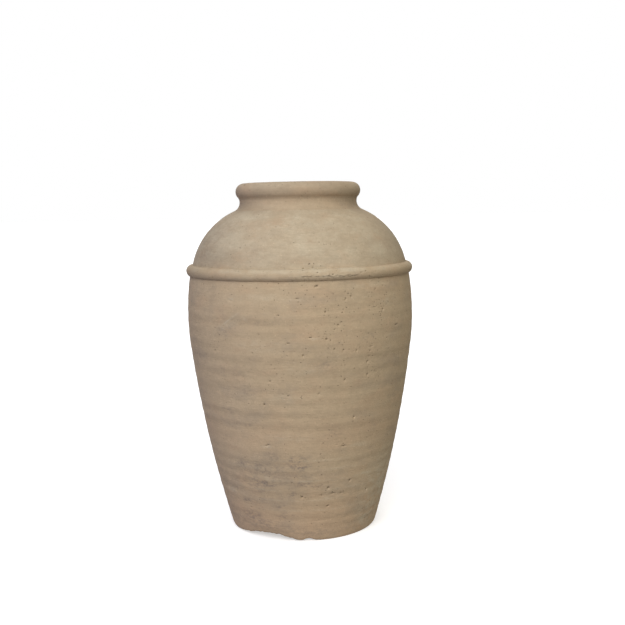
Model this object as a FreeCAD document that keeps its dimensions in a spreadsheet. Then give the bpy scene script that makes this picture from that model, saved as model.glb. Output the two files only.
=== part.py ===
"""A handle-less storage amphora of coarse clay, about half a metre tall.

The jar is built the way large coarse-ware jars are: on a round floor slab, ring after
ring is raised and left to stiffen, and each ring sits with a grooved foot over the raised
key of the one below, bedded in wet slip. An applied strip, the cordon, covers the widest
seam, and a soft coil is thumbed into the corner between floor and wall.

Frame: origin at the centre of the foot's flat face, +Z up along the jar's axis. All the
pieces are bodies of revolution, each drawn from the seam that it stands on and lifted to
it by its Placement. Sizes are millimetres.
"""

import FreeCAD, Part
import math
import os

import Sketcher

# name, millimetres, what it sizes
SIZES = [
    ("floor_thickness", 20.0, "floor slab, under the walls and inside them"),
    ("lower_rise", 124.0, "first ring of wall, seam to seam"),
    ("belly_rise", 125.0, "second ring of wall, seam to seam"),
    ("upper_rise", 107.5, "third ring of wall, up to the cordon's seam"),
    ("shoulder_rise", 84.5, "domed shoulder, cordon's seam to the neck's seam"),
    ("neck_rise", 15.0, "neck collar, seam to seam"),
    ("rim_rise", 24.0, "rolled rim, and so twice the radius of its roll"),
    ("wall", 12.0, "thickness of every wall"),
    ("belly_radius", 164.0, "outer radius where the jar is widest"),
    ("belly_drop", 64.5, "from the cordon's seam down to the widest level"),
    ("belly_curve", 362.0, "radius of the wall's arc above the belly ring"),
    ("lower_curve", 1650.0, "radius of the long arc from the belly ring to the foot"),
    ("shoulder_setback", 1.7, "step from the upper ring in to the shoulder, under the cordon"),
    ("shoulder_bulge", 14.0, "how far the shoulder's arc stands out from its chord"),
    ("neck_waist", 85.0, "outer radius of the neck at its narrowest"),
    ("neck_waist_rise", 12.0, "from the neck's seam up to its narrowest level"),
    ("neck_flare", 7.0, "how far the neck's foot stands out past its waist"),
    ("rim_overhang", 5.5, "how far the roll stands out past the neck's waist"),
    ("lip_flat", 1.5, "flat left on the rim's top, between the roll and the mouth's rounding"),
    ("foot_round", 2.0, "rounding of the foot's outer edge"),
    ("groove_width", 5.0, "groove in the foot of each ring"),
    ("groove_depth", 4.0, "the same groove"),
    ("slip", 0.8, "bed of slip between a key and its groove"),
    ("cordon_reach", 8.1, "cordon, above and below its seam"),
    ("cordon_bulge", 7.2, "how far the cordon stands out from its own chord"),
    ("coil_reach", 14.0, "floor coil, up the wall and in along the floor"),
    ("coil_curve", 17.0, "radius of the floor coil's thumbed face"),
]

# ---------------------------------------------------------------- levels above the ground
FLOOR_TOP = "sizes.floor_thickness"
LOWER_TOP = f"({FLOOR_TOP} + sizes.lower_rise)"
BELLY_TOP = f"({LOWER_TOP} + sizes.belly_rise)"
UPPER_TOP = f"({BELLY_TOP} + sizes.upper_rise)"
SHOULDER_TOP = f"({UPPER_TOP} + sizes.shoulder_rise)"
NECK_TOP = f"({SHOULDER_TOP} + sizes.neck_rise)"
WIDEST = f"({UPPER_TOP} - sizes.belly_drop)"

MOUTH_RADIUS = "(sizes.neck_waist - sizes.wall)"
# the neck's hollow outline is level at its waist and passes through its flared foot
NECK_HOLLOW = "((sizes.neck_waist_rise ^ 2 + sizes.neck_flare ^ 2) / (2 * sizes.neck_flare))"
# the roll is half a round, the mouth's edge is rounded, and a narrow flat lies between them
ROLL = "(sizes.rim_rise / 2)"
ROLL_CENTRE = f"(sizes.neck_waist + sizes.rim_overhang - {ROLL})"
LIP_ROUND = f"({ROLL_CENTRE} - {MOUTH_RADIUS} - sizes.lip_flat)"


def upper_wall(level, depth="0"):
    """Radius of the arc of the widest level, at a level, this deep inside the outer face."""
    centre = "(sizes.belly_radius - sizes.belly_curve)"
    return f"({centre} + sqrt((sizes.belly_curve - {depth}) ^ 2 - ({level} - {WIDEST}) ^ 2))"


def lower_wall(level, depth="0"):
    """The same for the long arc below, which touches the upper one at the belly ring's top."""
    climb = f"({WIDEST} - {BELLY_TOP})"
    growth = "(sizes.lower_curve / sizes.belly_curve - 1)"
    centre_level = f"({WIDEST} + {growth} * {climb})"
    centre = (
        f"(sizes.belly_radius - sizes.belly_curve"
        f" - {growth} * sqrt(sizes.belly_curve ^ 2 - {climb} ^ 2))"
    )
    return f"({centre} + sqrt((sizes.lower_curve - {depth}) ^ 2 - ({level} - {centre_level}) ^ 2))"


def neck_outline(height):
    """Outer radius of the neck's hollow outline, at a height above the neck's seam."""
    reach = f"({height} - sizes.neck_waist_rise)"
    return f"(sizes.neck_waist + {NECK_HOLLOW} - sqrt({NECK_HOLLOW} ^ 2 - {reach} ^ 2))"


# ------------------------------------------- the shoulder's arc, from its foot to the neck
SHOULDER_FOOT = f"({upper_wall(UPPER_TOP)} - sizes.shoulder_setback)"
NECK_FOOT = neck_outline("0")
SHOULDER_CHORD = f"sqrt(({SHOULDER_FOOT} - {NECK_FOOT}) ^ 2 + sizes.shoulder_rise ^ 2)"
SHOULDER_CURVE = (
    f"({SHOULDER_CHORD} ^ 2 / (8 * sizes.shoulder_bulge) + sizes.shoulder_bulge / 2)"
)
# from the chord's middle to the arc's centre, as a share of the chord
SHOULDER_OFFSET = (
    f"({SHOULDER_CHORD} / (8 * sizes.shoulder_bulge)"
    f" - sizes.shoulder_bulge / (2 * {SHOULDER_CHORD}))"
)
SHOULDER_CENTRE = (
    f"(({SHOULDER_FOOT} + {NECK_FOOT}) / 2 - sizes.shoulder_rise * {SHOULDER_OFFSET})"
)
SHOULDER_CENTRE_HEIGHT = (
    f"(sizes.shoulder_rise / 2 - ({SHOULDER_FOOT} - {NECK_FOOT}) * {SHOULDER_OFFSET})"
)


def shoulder(height, depth="0"):
    """Radius of the shoulder's arc at a height above the cordon's seam."""
    reach = f"({height} - {SHOULDER_CENTRE_HEIGHT})"
    return f"({SHOULDER_CENTRE} + sqrt(({SHOULDER_CURVE} - {depth}) ^ 2 - {reach} ^ 2))"


def shoulder_height(radius, depth):
    """Height above the cordon's seam at which the shoulder's arc has this radius."""
    reach = f"({radius} - {SHOULDER_CENTRE})"
    return f"({SHOULDER_CENTRE_HEIGHT} + sqrt(({SHOULDER_CURVE} - {depth}) ^ 2 - {reach} ^ 2))"


# --------------------------------------------------------- seams, from the floor to the rim
KEY_WIDTH = "(sizes.groove_width - 2 * sizes.slip)"
KEY_HEIGHT = "(sizes.groove_depth - sizes.slip)"


def middle(outer):
    """The middle radius of a wall whose outer radius is given: keys and grooves lie there."""
    return f"({outer} - sizes.wall / 2)"


# name of the seam: its level, and the middle radius of its key
SEAMS = {
    "floor": (FLOOR_TOP, middle(lower_wall(FLOOR_TOP))),
    "lower": (LOWER_TOP, middle(lower_wall(LOWER_TOP))),
    "belly": (BELLY_TOP, middle(lower_wall(BELLY_TOP))),
    "cordon": (UPPER_TOP, middle(upper_wall(UPPER_TOP))),
    "neck": (SHOULDER_TOP, middle("sizes.neck_waist")),
    "rim": (NECK_TOP, middle("sizes.neck_waist")),
}


class Outline:
    """A closed outline beside the jar's axis: corners, joined by lines and arcs.

    A corner is a radius and a height, both expressions in the cells of the sheet. It runs
    anticlockwise, so it goes out along the bottom, up the outer face and back in on top.
    """

    def __init__(self, radius, height):
        self.corners = [(radius, height)]
        self.edges = []

    def line(self, radius, height):
        self.corners.append((radius, height))
        self.edges.append(None)
        return self

    def arc(self, radius, height, curve, turn):
        """turn is 1 for an arc that bends to the left of the way it runs, and -1 to the right."""
        self.corners.append((radius, height))
        self.edges.append((curve, turn))
        return self

    def close(self):
        """Joins the last corner to the first with a line."""
        self.edges.append(None)
        return self

    def close_with_arc(self, curve, turn):
        self.edges.append((curve, turn))
        return self

    def groove(self, seam):
        """Cuts the groove of a seam into the bottom face, on the way out."""
        centre = SEAMS[seam][1]
        inner = f"({centre} - sizes.groove_width / 2)"
        outer = f"({centre} + sizes.groove_width / 2)"
        self.line(inner, "0").line(inner, "sizes.groove_depth")
        return self.line(outer, "sizes.groove_depth").line(outer, "0")

    def key(self, seam, height):
        """Raises the key of a seam from the top face, on the way in."""
        centre = SEAMS[seam][1]
        inner = f"({centre} - {KEY_WIDTH} / 2)"
        outer = f"({centre} + {KEY_WIDTH} / 2)"
        crest = f"({height} + {KEY_HEIGHT})"
        self.line(outer, height).line(outer, crest)
        return self.line(inner, crest).line(inner, height)


class Jar:
    """The document, its sheet and its bodies."""

    def __init__(self):
        self.document = FreeCAD.newDocument("amphora")
        self.sheet = self.document.addObject("Spreadsheet::Sheet", "sizes")
        for row, (name, value, use) in enumerate(SIZES, start=1):
            self.sheet.set(f"A{row}", name)
            self.sheet.set(f"B{row}", str(value))
            self.sheet.set(f"C{row}", use)
            self.sheet.setAlias(f"B{row}", name)
        self.document.recompute()
        self.bodies = []

    def value(self, expression):
        return float(self.sheet.evalExpression(expression))

    def revolve(self, name, outline, level="0"):
        """Makes a body by turning an outline about the jar's axis, and lifts it to a level."""
        body = self.document.addObject("PartDesign::Body", name)
        body.Label = name
        planes = {feature.Role: feature for feature in body.Origin.OriginFeatures}
        sketch = body.newObject("Sketcher::SketchObject", name + "_outline")
        sketch.AttachmentSupport = [(planes["XZ_Plane"], "")]
        sketch.MapMode = "FlatFace"
        self.draw(sketch, outline)
        self.document.recompute()
        turned = body.newObject("PartDesign::Revolution", name + "_turned")
        turned.Profile = sketch
        turned.ReferenceAxis = (sketch, ["V_Axis"])
        turned.Angle = 360.0
        body.setExpression("Placement.Base.z", level)
        self.document.recompute()
        self.bodies.append(body)
        return body

    def draw(self, sketch, outline):
        """Draws an outline and ties each corner and each arc's radius to the sheet."""
        corners = [
            FreeCAD.Vector(self.value(radius), self.value(height), 0)
            for radius, height in outline.corners
        ]
        count = len(corners)
        starts = []
        ends = []
        for index, bend in enumerate(outline.edges):
            first = corners[index]
            last = corners[(index + 1) % count]
            if bend is None:
                edge = sketch.addGeometry(Part.LineSegment(first, last), False)
                starts.append((edge, 1))
                ends.append((edge, 2))
                continue
            curve, turn = bend
            edge = sketch.addGeometry(arc_between(first, last, self.value(curve), turn), False)
            # an arc is stored anticlockwise, so one that turns right starts at its last corner
            starts.append((edge, 1 if turn > 0 else 2))
            ends.append((edge, 2 if turn > 0 else 1))
            radius = sketch.addConstraint(
                Sketcher.Constraint("Radius", edge, self.value(curve))
            )
            self.tie(sketch, radius, f"curve_{index}", curve)
        for index, (radius, height) in enumerate(outline.corners):
            edge, end = starts[index]
            sketch.addConstraint(Sketcher.Constraint("Coincident", *ends[index - 1], edge, end))
            self.place(sketch, "DistanceX", -2, edge, end, f"radius_{index}", radius)
            self.place(sketch, "DistanceY", -1, edge, end, f"height_{index}", height)

    def place(self, sketch, kind, axis, edge, end, name, expression):
        """Sets a corner's distance from the sketch's origin, or puts it on the axis if it is 0."""
        if expression == "0":
            sketch.addConstraint(Sketcher.Constraint("PointOnObject", edge, end, axis))
            return
        size = Sketcher.Constraint(kind, -1, 1, edge, end, self.value(expression))
        self.tie(sketch, sketch.addConstraint(size), name, expression)

    def tie(self, sketch, constraint, name, expression):
        sketch.renameConstraint(constraint, name)
        sketch.setExpression(f"Constraints.{name}", expression)

    def round_edge(self, body, radius, level, size):
        """Rounds the circular edge at this radius and height of a body's own frame."""
        base = body.Tip
        wanted = (self.value(radius), self.value(level))
        edges = [
            f"Edge{number}"
            for number, edge in enumerate(base.Shape.Edges, start=1)
            if is_circle(edge, *wanted)
        ]
        if len(edges) != 1:
            raise RuntimeError(f"{body.Label}: {len(edges)} edges to round, instead of one")
        before = base.Shape.Volume
        rounding = body.newObject("PartDesign::Fillet", body.Label + "_rounding")
        rounding.Base = (base, edges)
        rounding.setExpression("Radius", size)
        self.document.recompute()
        if not 0 < rounding.Shape.Volume < before:
            raise RuntimeError(f"{body.Label}: the rounding took nothing off")

    def check(self):
        """Stops if anything in the document failed, which a recompute doesn't do by itself."""
        self.document.recompute()
        for item in self.document.Objects:
            bad = {"Invalid", "Error"} & set(item.State)
            if bad:
                raise RuntimeError(f"{item.Label} is {sorted(bad)}")
        for body in self.bodies:
            shape = body.Shape
            if shape.isNull() or not shape.isValid() or len(shape.Solids) != 1:
                raise RuntimeError(f"{body.Label} is not one sound solid")

    def export(self, folder):
        os.makedirs(folder, exist_ok=True)
        for body in self.bodies:
            body.Shape.exportStep(os.path.join(folder, body.Label + ".step"))


def arc_between(first, last, curve, turn):
    """The shorter arc of this radius from first to last, bending left or right by turn."""
    chord = last - first
    left = FreeCAD.Vector(-chord.y, chord.x, 0).normalize()
    reach = math.sqrt(curve**2 - chord.Length**2 / 4)
    centre = (first + last) / 2 + left * (turn * reach)
    begin, end = (first, last) if turn > 0 else (last, first)
    circle = Part.Circle(centre, FreeCAD.Vector(0, 0, 1), curve)
    return Part.ArcOfCircle(circle, angle_of(begin - centre), angle_of(end - centre))


def angle_of(arm):
    return math.atan2(arm.y, arm.x)


def is_circle(edge, radius, level):
    """Whether an edge is the circle of this radius at this level, about the Z axis."""
    near = 1e-4
    curve = edge.Curve
    return (
        isinstance(curve, Part.Circle)
        and abs(curve.Radius - radius) < near
        and abs(curve.Center.z - level) < near
    )


# ------------------------------------------------------------------------------ the pieces
def floor_slab(jar):
    """The disc that the jar stands on, its edge sloping on with the wall above."""
    foot_radius = lower_wall("0")
    outline = Outline("0", "0").line(foot_radius, "0")
    outline.arc(lower_wall(FLOOR_TOP), FLOOR_TOP, "sizes.lower_curve", 1)
    outline.key("floor", FLOOR_TOP).line("0", FLOOR_TOP).close()
    body = jar.revolve("floor_slab", outline)
    jar.round_edge(body, foot_radius, "0", "sizes.foot_round")


def wall_ring(jar, name, bottom, top, rise, foot_seam, head_seam, wall_at, curve):
    """One ring of the wall: grooved below, keyed above, both faces arcs about one centre."""
    outline = Outline(wall_at(bottom, "sizes.wall"), "0").groove(foot_seam)
    outline.line(wall_at(bottom), "0").arc(wall_at(top), rise, curve, 1)
    outline.key(head_seam, rise).line(wall_at(top, "sizes.wall"), rise)
    outline.close_with_arc(f"({curve} - sizes.wall)", -1)
    jar.revolve(name, outline, bottom)


def shoulder_dome(jar):
    """The dome from the cordon's seam in to the neck, its top bored out to the mouth."""
    rise = "sizes.shoulder_rise"
    outline = Outline(shoulder("0", "sizes.wall"), "0").groove("cordon")
    outline.line(SHOULDER_FOOT, "0").arc(NECK_FOOT, rise, SHOULDER_CURVE, 1)
    outline.key("neck", rise).line(MOUTH_RADIUS, rise)
    outline.line(MOUTH_RADIUS, shoulder_height(MOUTH_RADIUS, "sizes.wall"))
    outline.close_with_arc(f"({SHOULDER_CURVE} - sizes.wall)", -1)
    jar.revolve("shoulder_dome", outline, UPPER_TOP)


def neck_collar(jar):
    """The short waisted neck, hollow outside and straight inside."""
    outline = Outline(MOUTH_RADIUS, "0").groove("neck").line(NECK_FOOT, "0")
    outline.arc(neck_outline("sizes.neck_rise"), "sizes.neck_rise", NECK_HOLLOW, -1)
    outline.key("rim", "sizes.neck_rise").line(MOUTH_RADIUS, "sizes.neck_rise").close()
    jar.revolve("neck_collar", outline, SHOULDER_TOP)


def rim_roll(jar):
    """The rolled rim: half a round outside, a short step at its foot, the bore inside."""
    foot = neck_outline("sizes.neck_rise")
    step = f"({ROLL} - sqrt({ROLL} ^ 2 - ({foot} - {ROLL_CENTRE}) ^ 2))"
    outline = Outline(MOUTH_RADIUS, "0").groove("rim").line(foot, "0").line(foot, step)
    outline.arc(f"({ROLL_CENTRE} + {ROLL})", ROLL, ROLL, 1)
    outline.arc(ROLL_CENTRE, "sizes.rim_rise", ROLL, 1)
    outline.line(MOUTH_RADIUS, "sizes.rim_rise").close()
    body = jar.revolve("rim_roll", outline, NECK_TOP)
    jar.round_edge(body, MOUTH_RADIUS, "sizes.rim_rise", LIP_ROUND)


def cordon(jar):
    """The applied strip, its back stepped to lie on the upper ring and on the shoulder."""
    reach = "sizes.cordon_reach"
    foot = upper_wall(f"({UPPER_TOP} - {reach})")
    head = shoulder(reach)
    chord = f"sqrt(({foot} - {head}) ^ 2 + (2 * {reach}) ^ 2)"
    front = f"({chord} ^ 2 / (8 * sizes.cordon_bulge) + sizes.cordon_bulge / 2)"
    outline = Outline(foot, "0").arc(head, f"(2 * {reach})", front, 1)
    outline.arc(SHOULDER_FOOT, reach, SHOULDER_CURVE, -1).line(upper_wall(UPPER_TOP), reach)
    outline.close_with_arc("sizes.belly_curve", -1)
    jar.revolve("cordon", outline, f"({UPPER_TOP} - {reach})")


def floor_coil(jar):
    """The coil thumbed into the corner between the floor and the lower ring."""
    reach = "sizes.coil_reach"
    corner = lower_wall(FLOOR_TOP, "sizes.wall")
    head = lower_wall(f"({FLOOR_TOP} + {reach})", "sizes.wall")
    outline = Outline(f"({corner} - {reach})", "0").line(corner, "0")
    outline.arc(head, reach, "(sizes.lower_curve - sizes.wall)", 1)
    outline.close_with_arc("sizes.coil_curve", -1)
    jar.revolve("floor_coil", outline, FLOOR_TOP)


def slip_bed(jar, seam):
    """The slip of one seam: what is left between its key and its groove."""
    level, centre = SEAMS[seam]
    wide = "sizes.groove_width / 2"
    narrow = f"{KEY_WIDTH} / 2"
    outline = Outline(f"({centre} + {narrow})", "0").line(f"({centre} + {wide})", "0")
    outline.line(f"({centre} + {wide})", "sizes.groove_depth")
    outline.line(f"({centre} - {wide})", "sizes.groove_depth")
    outline.line(f"({centre} - {wide})", "0").line(f"({centre} - {narrow})", "0")
    outline.line(f"({centre} - {narrow})", KEY_HEIGHT)
    outline.line(f"({centre} + {narrow})", KEY_HEIGHT).close()
    jar.revolve(f"{seam}_slip", outline, level)


def build():
    jar = Jar()
    floor_slab(jar)
    wall_ring(
        jar, "lower_ring", FLOOR_TOP, LOWER_TOP, "sizes.lower_rise",
        "floor", "lower", lower_wall, "sizes.lower_curve",
    )
    wall_ring(
        jar, "belly_ring", LOWER_TOP, BELLY_TOP, "sizes.belly_rise",
        "lower", "belly", lower_wall, "sizes.lower_curve",
    )
    wall_ring(
        jar, "upper_ring", BELLY_TOP, UPPER_TOP, "sizes.upper_rise",
        "belly", "cordon", upper_wall, "sizes.belly_curve",
    )
    shoulder_dome(jar)
    neck_collar(jar)
    rim_roll(jar)
    cordon(jar)
    floor_coil(jar)
    for seam in SEAMS:
        slip_bed(jar, seam)
    jar.check()
    jar.export("parts")
    return jar


build()
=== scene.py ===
"""The look of a handle-less storage jar of coarse clay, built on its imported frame.

Each clay piece of the frame is replaced by a finely divided closed skin of the same
section. A node tree then throws that skin: it leaves the fingers' rings, the drag of the
hand, lumps, grain and pits in it. The beds of slip in the joints stay as they are packed
and get a finish of their own.

Lengths are metres. A turn is an angle about the jar's axis in degrees, 0 at the front
(-Y) and growing to the right; a level is a height above the ground.
"""

import logging
import math
import random
from collections.abc import Callable, Sequence
from dataclasses import asdict, dataclass
from enum import Enum

import bpy
import numpy as np
from mathutils import Euler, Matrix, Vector


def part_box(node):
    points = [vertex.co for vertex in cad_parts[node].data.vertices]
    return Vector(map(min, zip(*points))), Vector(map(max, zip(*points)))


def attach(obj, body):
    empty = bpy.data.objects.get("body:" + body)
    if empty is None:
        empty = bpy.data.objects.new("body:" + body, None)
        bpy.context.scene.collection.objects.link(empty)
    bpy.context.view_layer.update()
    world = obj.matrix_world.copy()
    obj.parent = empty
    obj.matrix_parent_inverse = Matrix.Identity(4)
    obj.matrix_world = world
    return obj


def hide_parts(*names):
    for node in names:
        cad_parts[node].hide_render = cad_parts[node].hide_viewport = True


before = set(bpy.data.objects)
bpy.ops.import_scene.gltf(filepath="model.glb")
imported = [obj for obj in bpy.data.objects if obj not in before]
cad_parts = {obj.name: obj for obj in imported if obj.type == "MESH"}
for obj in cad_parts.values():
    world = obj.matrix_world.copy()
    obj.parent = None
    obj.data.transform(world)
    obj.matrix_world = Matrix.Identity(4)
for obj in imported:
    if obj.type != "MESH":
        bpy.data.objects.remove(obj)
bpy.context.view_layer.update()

MM = 0.001
BODY = "root"
LOG = logging.getLogger("jar")

Point = tuple[float, float]
Triple = tuple[float, float, float]
Colour = tuple[float, float, float]


# ------------------------------------------------------------------------------ the form
class Side(Enum):
    """What a stretch of a section is to the jar."""

    OUTSIDE = "outside"
    INSIDE = "inside"
    UNDER = "under"
    JOINT = "joint"


class Divisions(Enum):
    """How many points stand in one ring of a section."""

    FINE = 960
    MIDDLE = 480
    COARSE = 240


@dataclass(frozen=True)
class Form:
    """The jar's section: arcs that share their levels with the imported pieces."""

    floor_top: float
    lower_top: float
    belly_top: float
    cordon_seam: float
    neck_seam: float
    rim_seam: float
    top: float
    wall: float = 12.0 * MM
    belly_radius: float = 164.0 * MM
    belly_drop: float = 64.5 * MM
    belly_curve: float = 362.0 * MM
    lower_curve: float = 1650.0 * MM
    shoulder_setback: float = 1.7 * MM
    shoulder_bulge: float = 14.0 * MM
    neck_waist: float = 85.0 * MM
    neck_waist_rise: float = 12.0 * MM
    neck_flare: float = 7.0 * MM
    rim_overhang: float = 5.5 * MM
    groove_width: float = 5.0 * MM
    groove_depth: float = 4.0 * MM
    slip: float = 0.8 * MM

    @classmethod
    def of_frame(cls) -> "Form":
        """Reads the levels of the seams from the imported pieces.

        Returns:
            The form, with its other sizes as the jar was designed.
        """
        feet = ("lower_ring", "belly_ring", "upper_ring", "shoulder_dome", "neck_collar")
        levels = [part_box(node)[0].z for node in feet]
        low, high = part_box("rim_roll")
        return cls(*levels, low.z, high.z)

    @property
    def widest(self) -> float:
        """Level at which the jar is widest."""
        return self.cordon_seam - self.belly_drop

    @property
    def mouth_radius(self) -> float:
        """Radius of the straight bore through rim and neck."""
        return self.neck_waist - self.wall

    def wall_at(self, level: float, depth: float = 0.0) -> float:
        """Gives the wall's radius below the cordon.

        Args:
            level: Height above the ground.
            depth: How deep inside the outer face.

        Returns:
            The radius.
        """
        if level >= self.belly_top:
            return (
                self.belly_radius
                - self.belly_curve
                + math.sqrt((self.belly_curve - depth) ** 2 - (level - self.widest) ** 2)
            )
        climb = self.widest - self.belly_top
        growth = self.lower_curve / self.belly_curve - 1
        middle = self.widest + growth * climb
        centre = (
            self.belly_radius
            - self.belly_curve
            - growth * math.sqrt(self.belly_curve**2 - climb**2)
        )
        return centre + math.sqrt((self.lower_curve - depth) ** 2 - (level - middle) ** 2)

    def neck_at(self, level: float) -> float:
        """Gives the radius of the neck's hollow outline.

        Args:
            level: Height above the ground.

        Returns:
            The radius.
        """
        hollow = (self.neck_waist_rise**2 + self.neck_flare**2) / (2 * self.neck_flare)
        reach = level - self.neck_seam - self.neck_waist_rise
        return self.neck_waist + hollow - math.sqrt(hollow**2 - reach**2)

    def shoulder_arc(self) -> tuple[float, float, float]:
        """Works out the shoulder's outer arc.

        Returns:
            The radius and the level of its centre, and its own radius.
        """
        foot = self.wall_at(self.cordon_seam) - self.shoulder_setback
        head = self.neck_at(self.neck_seam)
        rise = self.neck_seam - self.cordon_seam
        chord = math.hypot(foot - head, rise)
        bulge = self.shoulder_bulge
        share = chord / (8 * bulge) - bulge / (2 * chord)
        centre = (foot + head) / 2 - rise * share
        level = self.cordon_seam + rise / 2 - (foot - head) * share
        return centre, level, chord**2 / (8 * bulge) + bulge / 2

    def shoulder_at(self, level: float, depth: float = 0.0) -> float:
        """Gives the shoulder's radius at a level, this deep inside its outer face."""
        centre, middle, curve = self.shoulder_arc()
        return centre + math.sqrt((curve - depth) ** 2 - (level - middle) ** 2)

    def shoulder_level(self, radius: float, depth: float) -> float:
        """Gives the level at which the shoulder's arc has a radius, this deep inside."""
        centre, middle, curve = self.shoulder_arc()
        return middle + math.sqrt((curve - depth) ** 2 - (radius - centre) ** 2)


def spread(low: float, high: float, step: float) -> list[float]:
    """Divides a stretch evenly, both ends included.

    Args:
        low: Where it starts.
        high: Where it ends.
        step: The longest step allowed.

    Returns:
        The values from low to high.
    """
    count = max(1, math.ceil(abs(high - low) / step))
    return [low + (high - low) * i / count for i in range(count + 1)]


def facing(centre: Sequence[float], place: Sequence[float]) -> float:
    """Gives the angle in degrees at which a place is seen from an arc's centre."""
    return math.degrees(math.atan2(place[1] - centre[1], place[0] - centre[0]))


def arc(
    centre: Sequence[float], curve: float, start: float, end: float, step: float
) -> list[Point]:
    """Places points along an arc of a section.

    Args:
        centre: Radius and level of its centre.
        curve: Its own radius.
        start: Angle of the first point in degrees, 0 pointing away from the axis.
        end: Angle of the last point.
        step: The longest step allowed between two points.

    Returns:
        The points, in order.
    """
    angles = spread(math.radians(start), math.radians(end), step / curve)
    return [
        (centre[0] + curve * math.cos(angle), centre[1] + curve * math.sin(angle))
        for angle in angles
    ]


def bend(start: Point, leaving: Point, end: Point, arriving: Point, step: float) -> list[Point]:
    """Leads a section smoothly from one point to another.

    Args:
        start: Radius and level of the first point.
        leaving: Direction of the section there, of length 1.
        end: Radius and level of the last point.
        arriving: Direction of the section there, of length 1.
        step: The longest step allowed, roughly.

    Returns:
        The points, in order.
    """
    reach = math.dist(start, end)
    corners = (
        Vector(start),
        Vector(start) + Vector(leaving) * reach / 3,
        Vector(end) - Vector(arriving) * reach / 3,
        Vector(end),
    )
    weights = (1, 3, 3, 1)
    points = []
    for share in spread(0.0, 1.0, step / reach):
        place = Vector((0.0, 0.0))
        for i, corner in enumerate(corners):
            place += corner * weights[i] * (1 - share) ** (3 - i) * share**i
        points.append((place.x, place.y))
    return points


# ------------------------------------------------------------- marks that a hand can point at
# Half sizes from a mark's middle at which the dirt and painted shade in its hole end, and how steeply
# its edge falls.
MARK_REACH = 3.0
MARK_EDGE = 3.0


@dataclass(frozen=True)
class Mark:
    """A pit, gouge or crumb in the outer skin: a soft-edged oval, sunk or raised.

    turn and tilt are degrees; level, across, tall and deep are millimetres. A negative
    depth stands proud.
    """

    turn: float
    level: float
    across: float
    tall: float
    deep: float
    tilt: float = 0.0

    def reach_at(self, turns: np.ndarray, radii: np.ndarray, levels: np.ndarray) -> np.ndarray:
        """Works out how far points of the skin are from the mark, in its own half sizes.

        Args:
            turns: The points' turns, in degrees.
            radii: Their distances from the axis.
            levels: Their levels.

        Returns:
            0 at the mark's middle and 1 at its edge.
        """
        nearest = int(np.argmin(np.abs(levels - self.level * MM)))
        swing = np.radians((turns - self.turn + 180.0) % 360.0 - 180.0)
        along = radii * swing
        drop = levels - self.level * MM
        climb = np.sign(drop) * np.hypot(drop, radii - radii[nearest])
        lean = math.radians(self.tilt)
        flat = along * math.cos(lean) + climb * math.sin(lean)
        upright = climb * math.cos(lean) - along * math.sin(lean)
        return np.hypot(2 * flat / (self.across * MM), 2 * upright / (self.tall * MM))


# Burst grog and trapped straw left these.
PITS = (
    Mark(5.7, 273, 3.8, 3.0, 1.9, 20), Mark(0.9, 271, 2.8, 2.6, 1.6), Mark(15.4, 81, 3.6, 3.2, 2.0),
    Mark(17.7, 310, 2.8, 2.6, 1.6), Mark(39.1, 255, 3.2, 2.8, 1.8), Mark(33.9, 257, 3.0, 2.8, 1.6),
    Mark(11.6, 328, 2.4, 2.6, 1.5), Mark(43.1, 326, 3.4, 2.6, 1.6), Mark(50.8, 344, 3.4, 2.6, 1.5),
    Mark(-19.4, 203, 3.0, 2.8, 1.5), Mark(28.1, 181, 2.8, 3.0, 1.6, -20),
    Mark(34.4, 239, 3.0, 3.0, 1.3), Mark(20.4, 276, 2.4, 2.6, 1.3),
    Mark(23.9, 237, 3.0, 2.8, 1.3, 30), Mark(21.6, 235, 3.0, 2.6, 1.2, 30),
    Mark(12.0, 292, 3.6, 2.4, 1.3), Mark(45.2, 68, 3.4, 3.4, 1.3),
    Mark(36.2, 70, 3.8, 3.0, 1.1, 25), Mark(29.7, 88, 5.0, 3.0, 1.1, 30),
    Mark(-1.2, 69, 4.0, 2.6, 1.4, 40), Mark(21.6, 343, 3.0, 2.2, 1.2),
    Mark(24.6, 347, 2.4, 2.2, 1.2), Mark(27.2, 274, 2.4, 2.4, 1.1), Mark(15.8, 278, 2.4, 2.6, 1.1),
    Mark(38.9, 354, 2.6, 2.2, 1.1), Mark(15.7, 53, 4.6, 2.8, 1.1, 20),
    Mark(-15.5, 236, 2.4, 2.2, 1.0), Mark(-6.8, 216, 2.6, 2.4, 1.0), Mark(6.4, 126, 3.0, 2.0, 1.0),
    Mark(3.8, 126, 2.6, 2.0, 1.0),
)
# Short drags where a tool or a straw was pulled along the turning wall.
GOUGES = (
    Mark(7.8, 362, 6.6, 2.6, 1.3, 14), Mark(8.5, 218, 4.4, 2.0, 0.9), Mark(4.4, 295, 5.4, 1.9, 0.9),
    Mark(23.2, 141, 7.6, 2.0, 1.2), Mark(37.9, 98, 9.0, 2.4, 1.4, 6),
    Mark(35.5, 277, 7.0, 1.8, 0.9), Mark(53.5, 302, 7.4, 2.0, 1.0),
    Mark(-6.0, 288, 6.0, 1.6, 1.0, -4), Mark(-1.4, 346, 6.4, 1.5, 0.9, 3),
    Mark(-35.0, 343, 7.0, 1.6, 0.8, -6), Mark(-10.2, 325, 3.4, 1.6, 0.7),
    Mark(-35.0, 318, 31.0, 2.0, -0.3, 32), Mark(-19.7, 145, 6.6, 1.8, 1.2, 16),
    Mark(18.5, 72, 10.0, 2.0, 1.0), Mark(24.4, 71, 5.6, 2.0, 0.9), Mark(11.2, 71, 7.0, 1.8, 0.7),
    Mark(46.0, 94, 9.0, 1.8, 0.8, -3), Mark(19.0, 144, 4.0, 1.8, 0.8),
)


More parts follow.
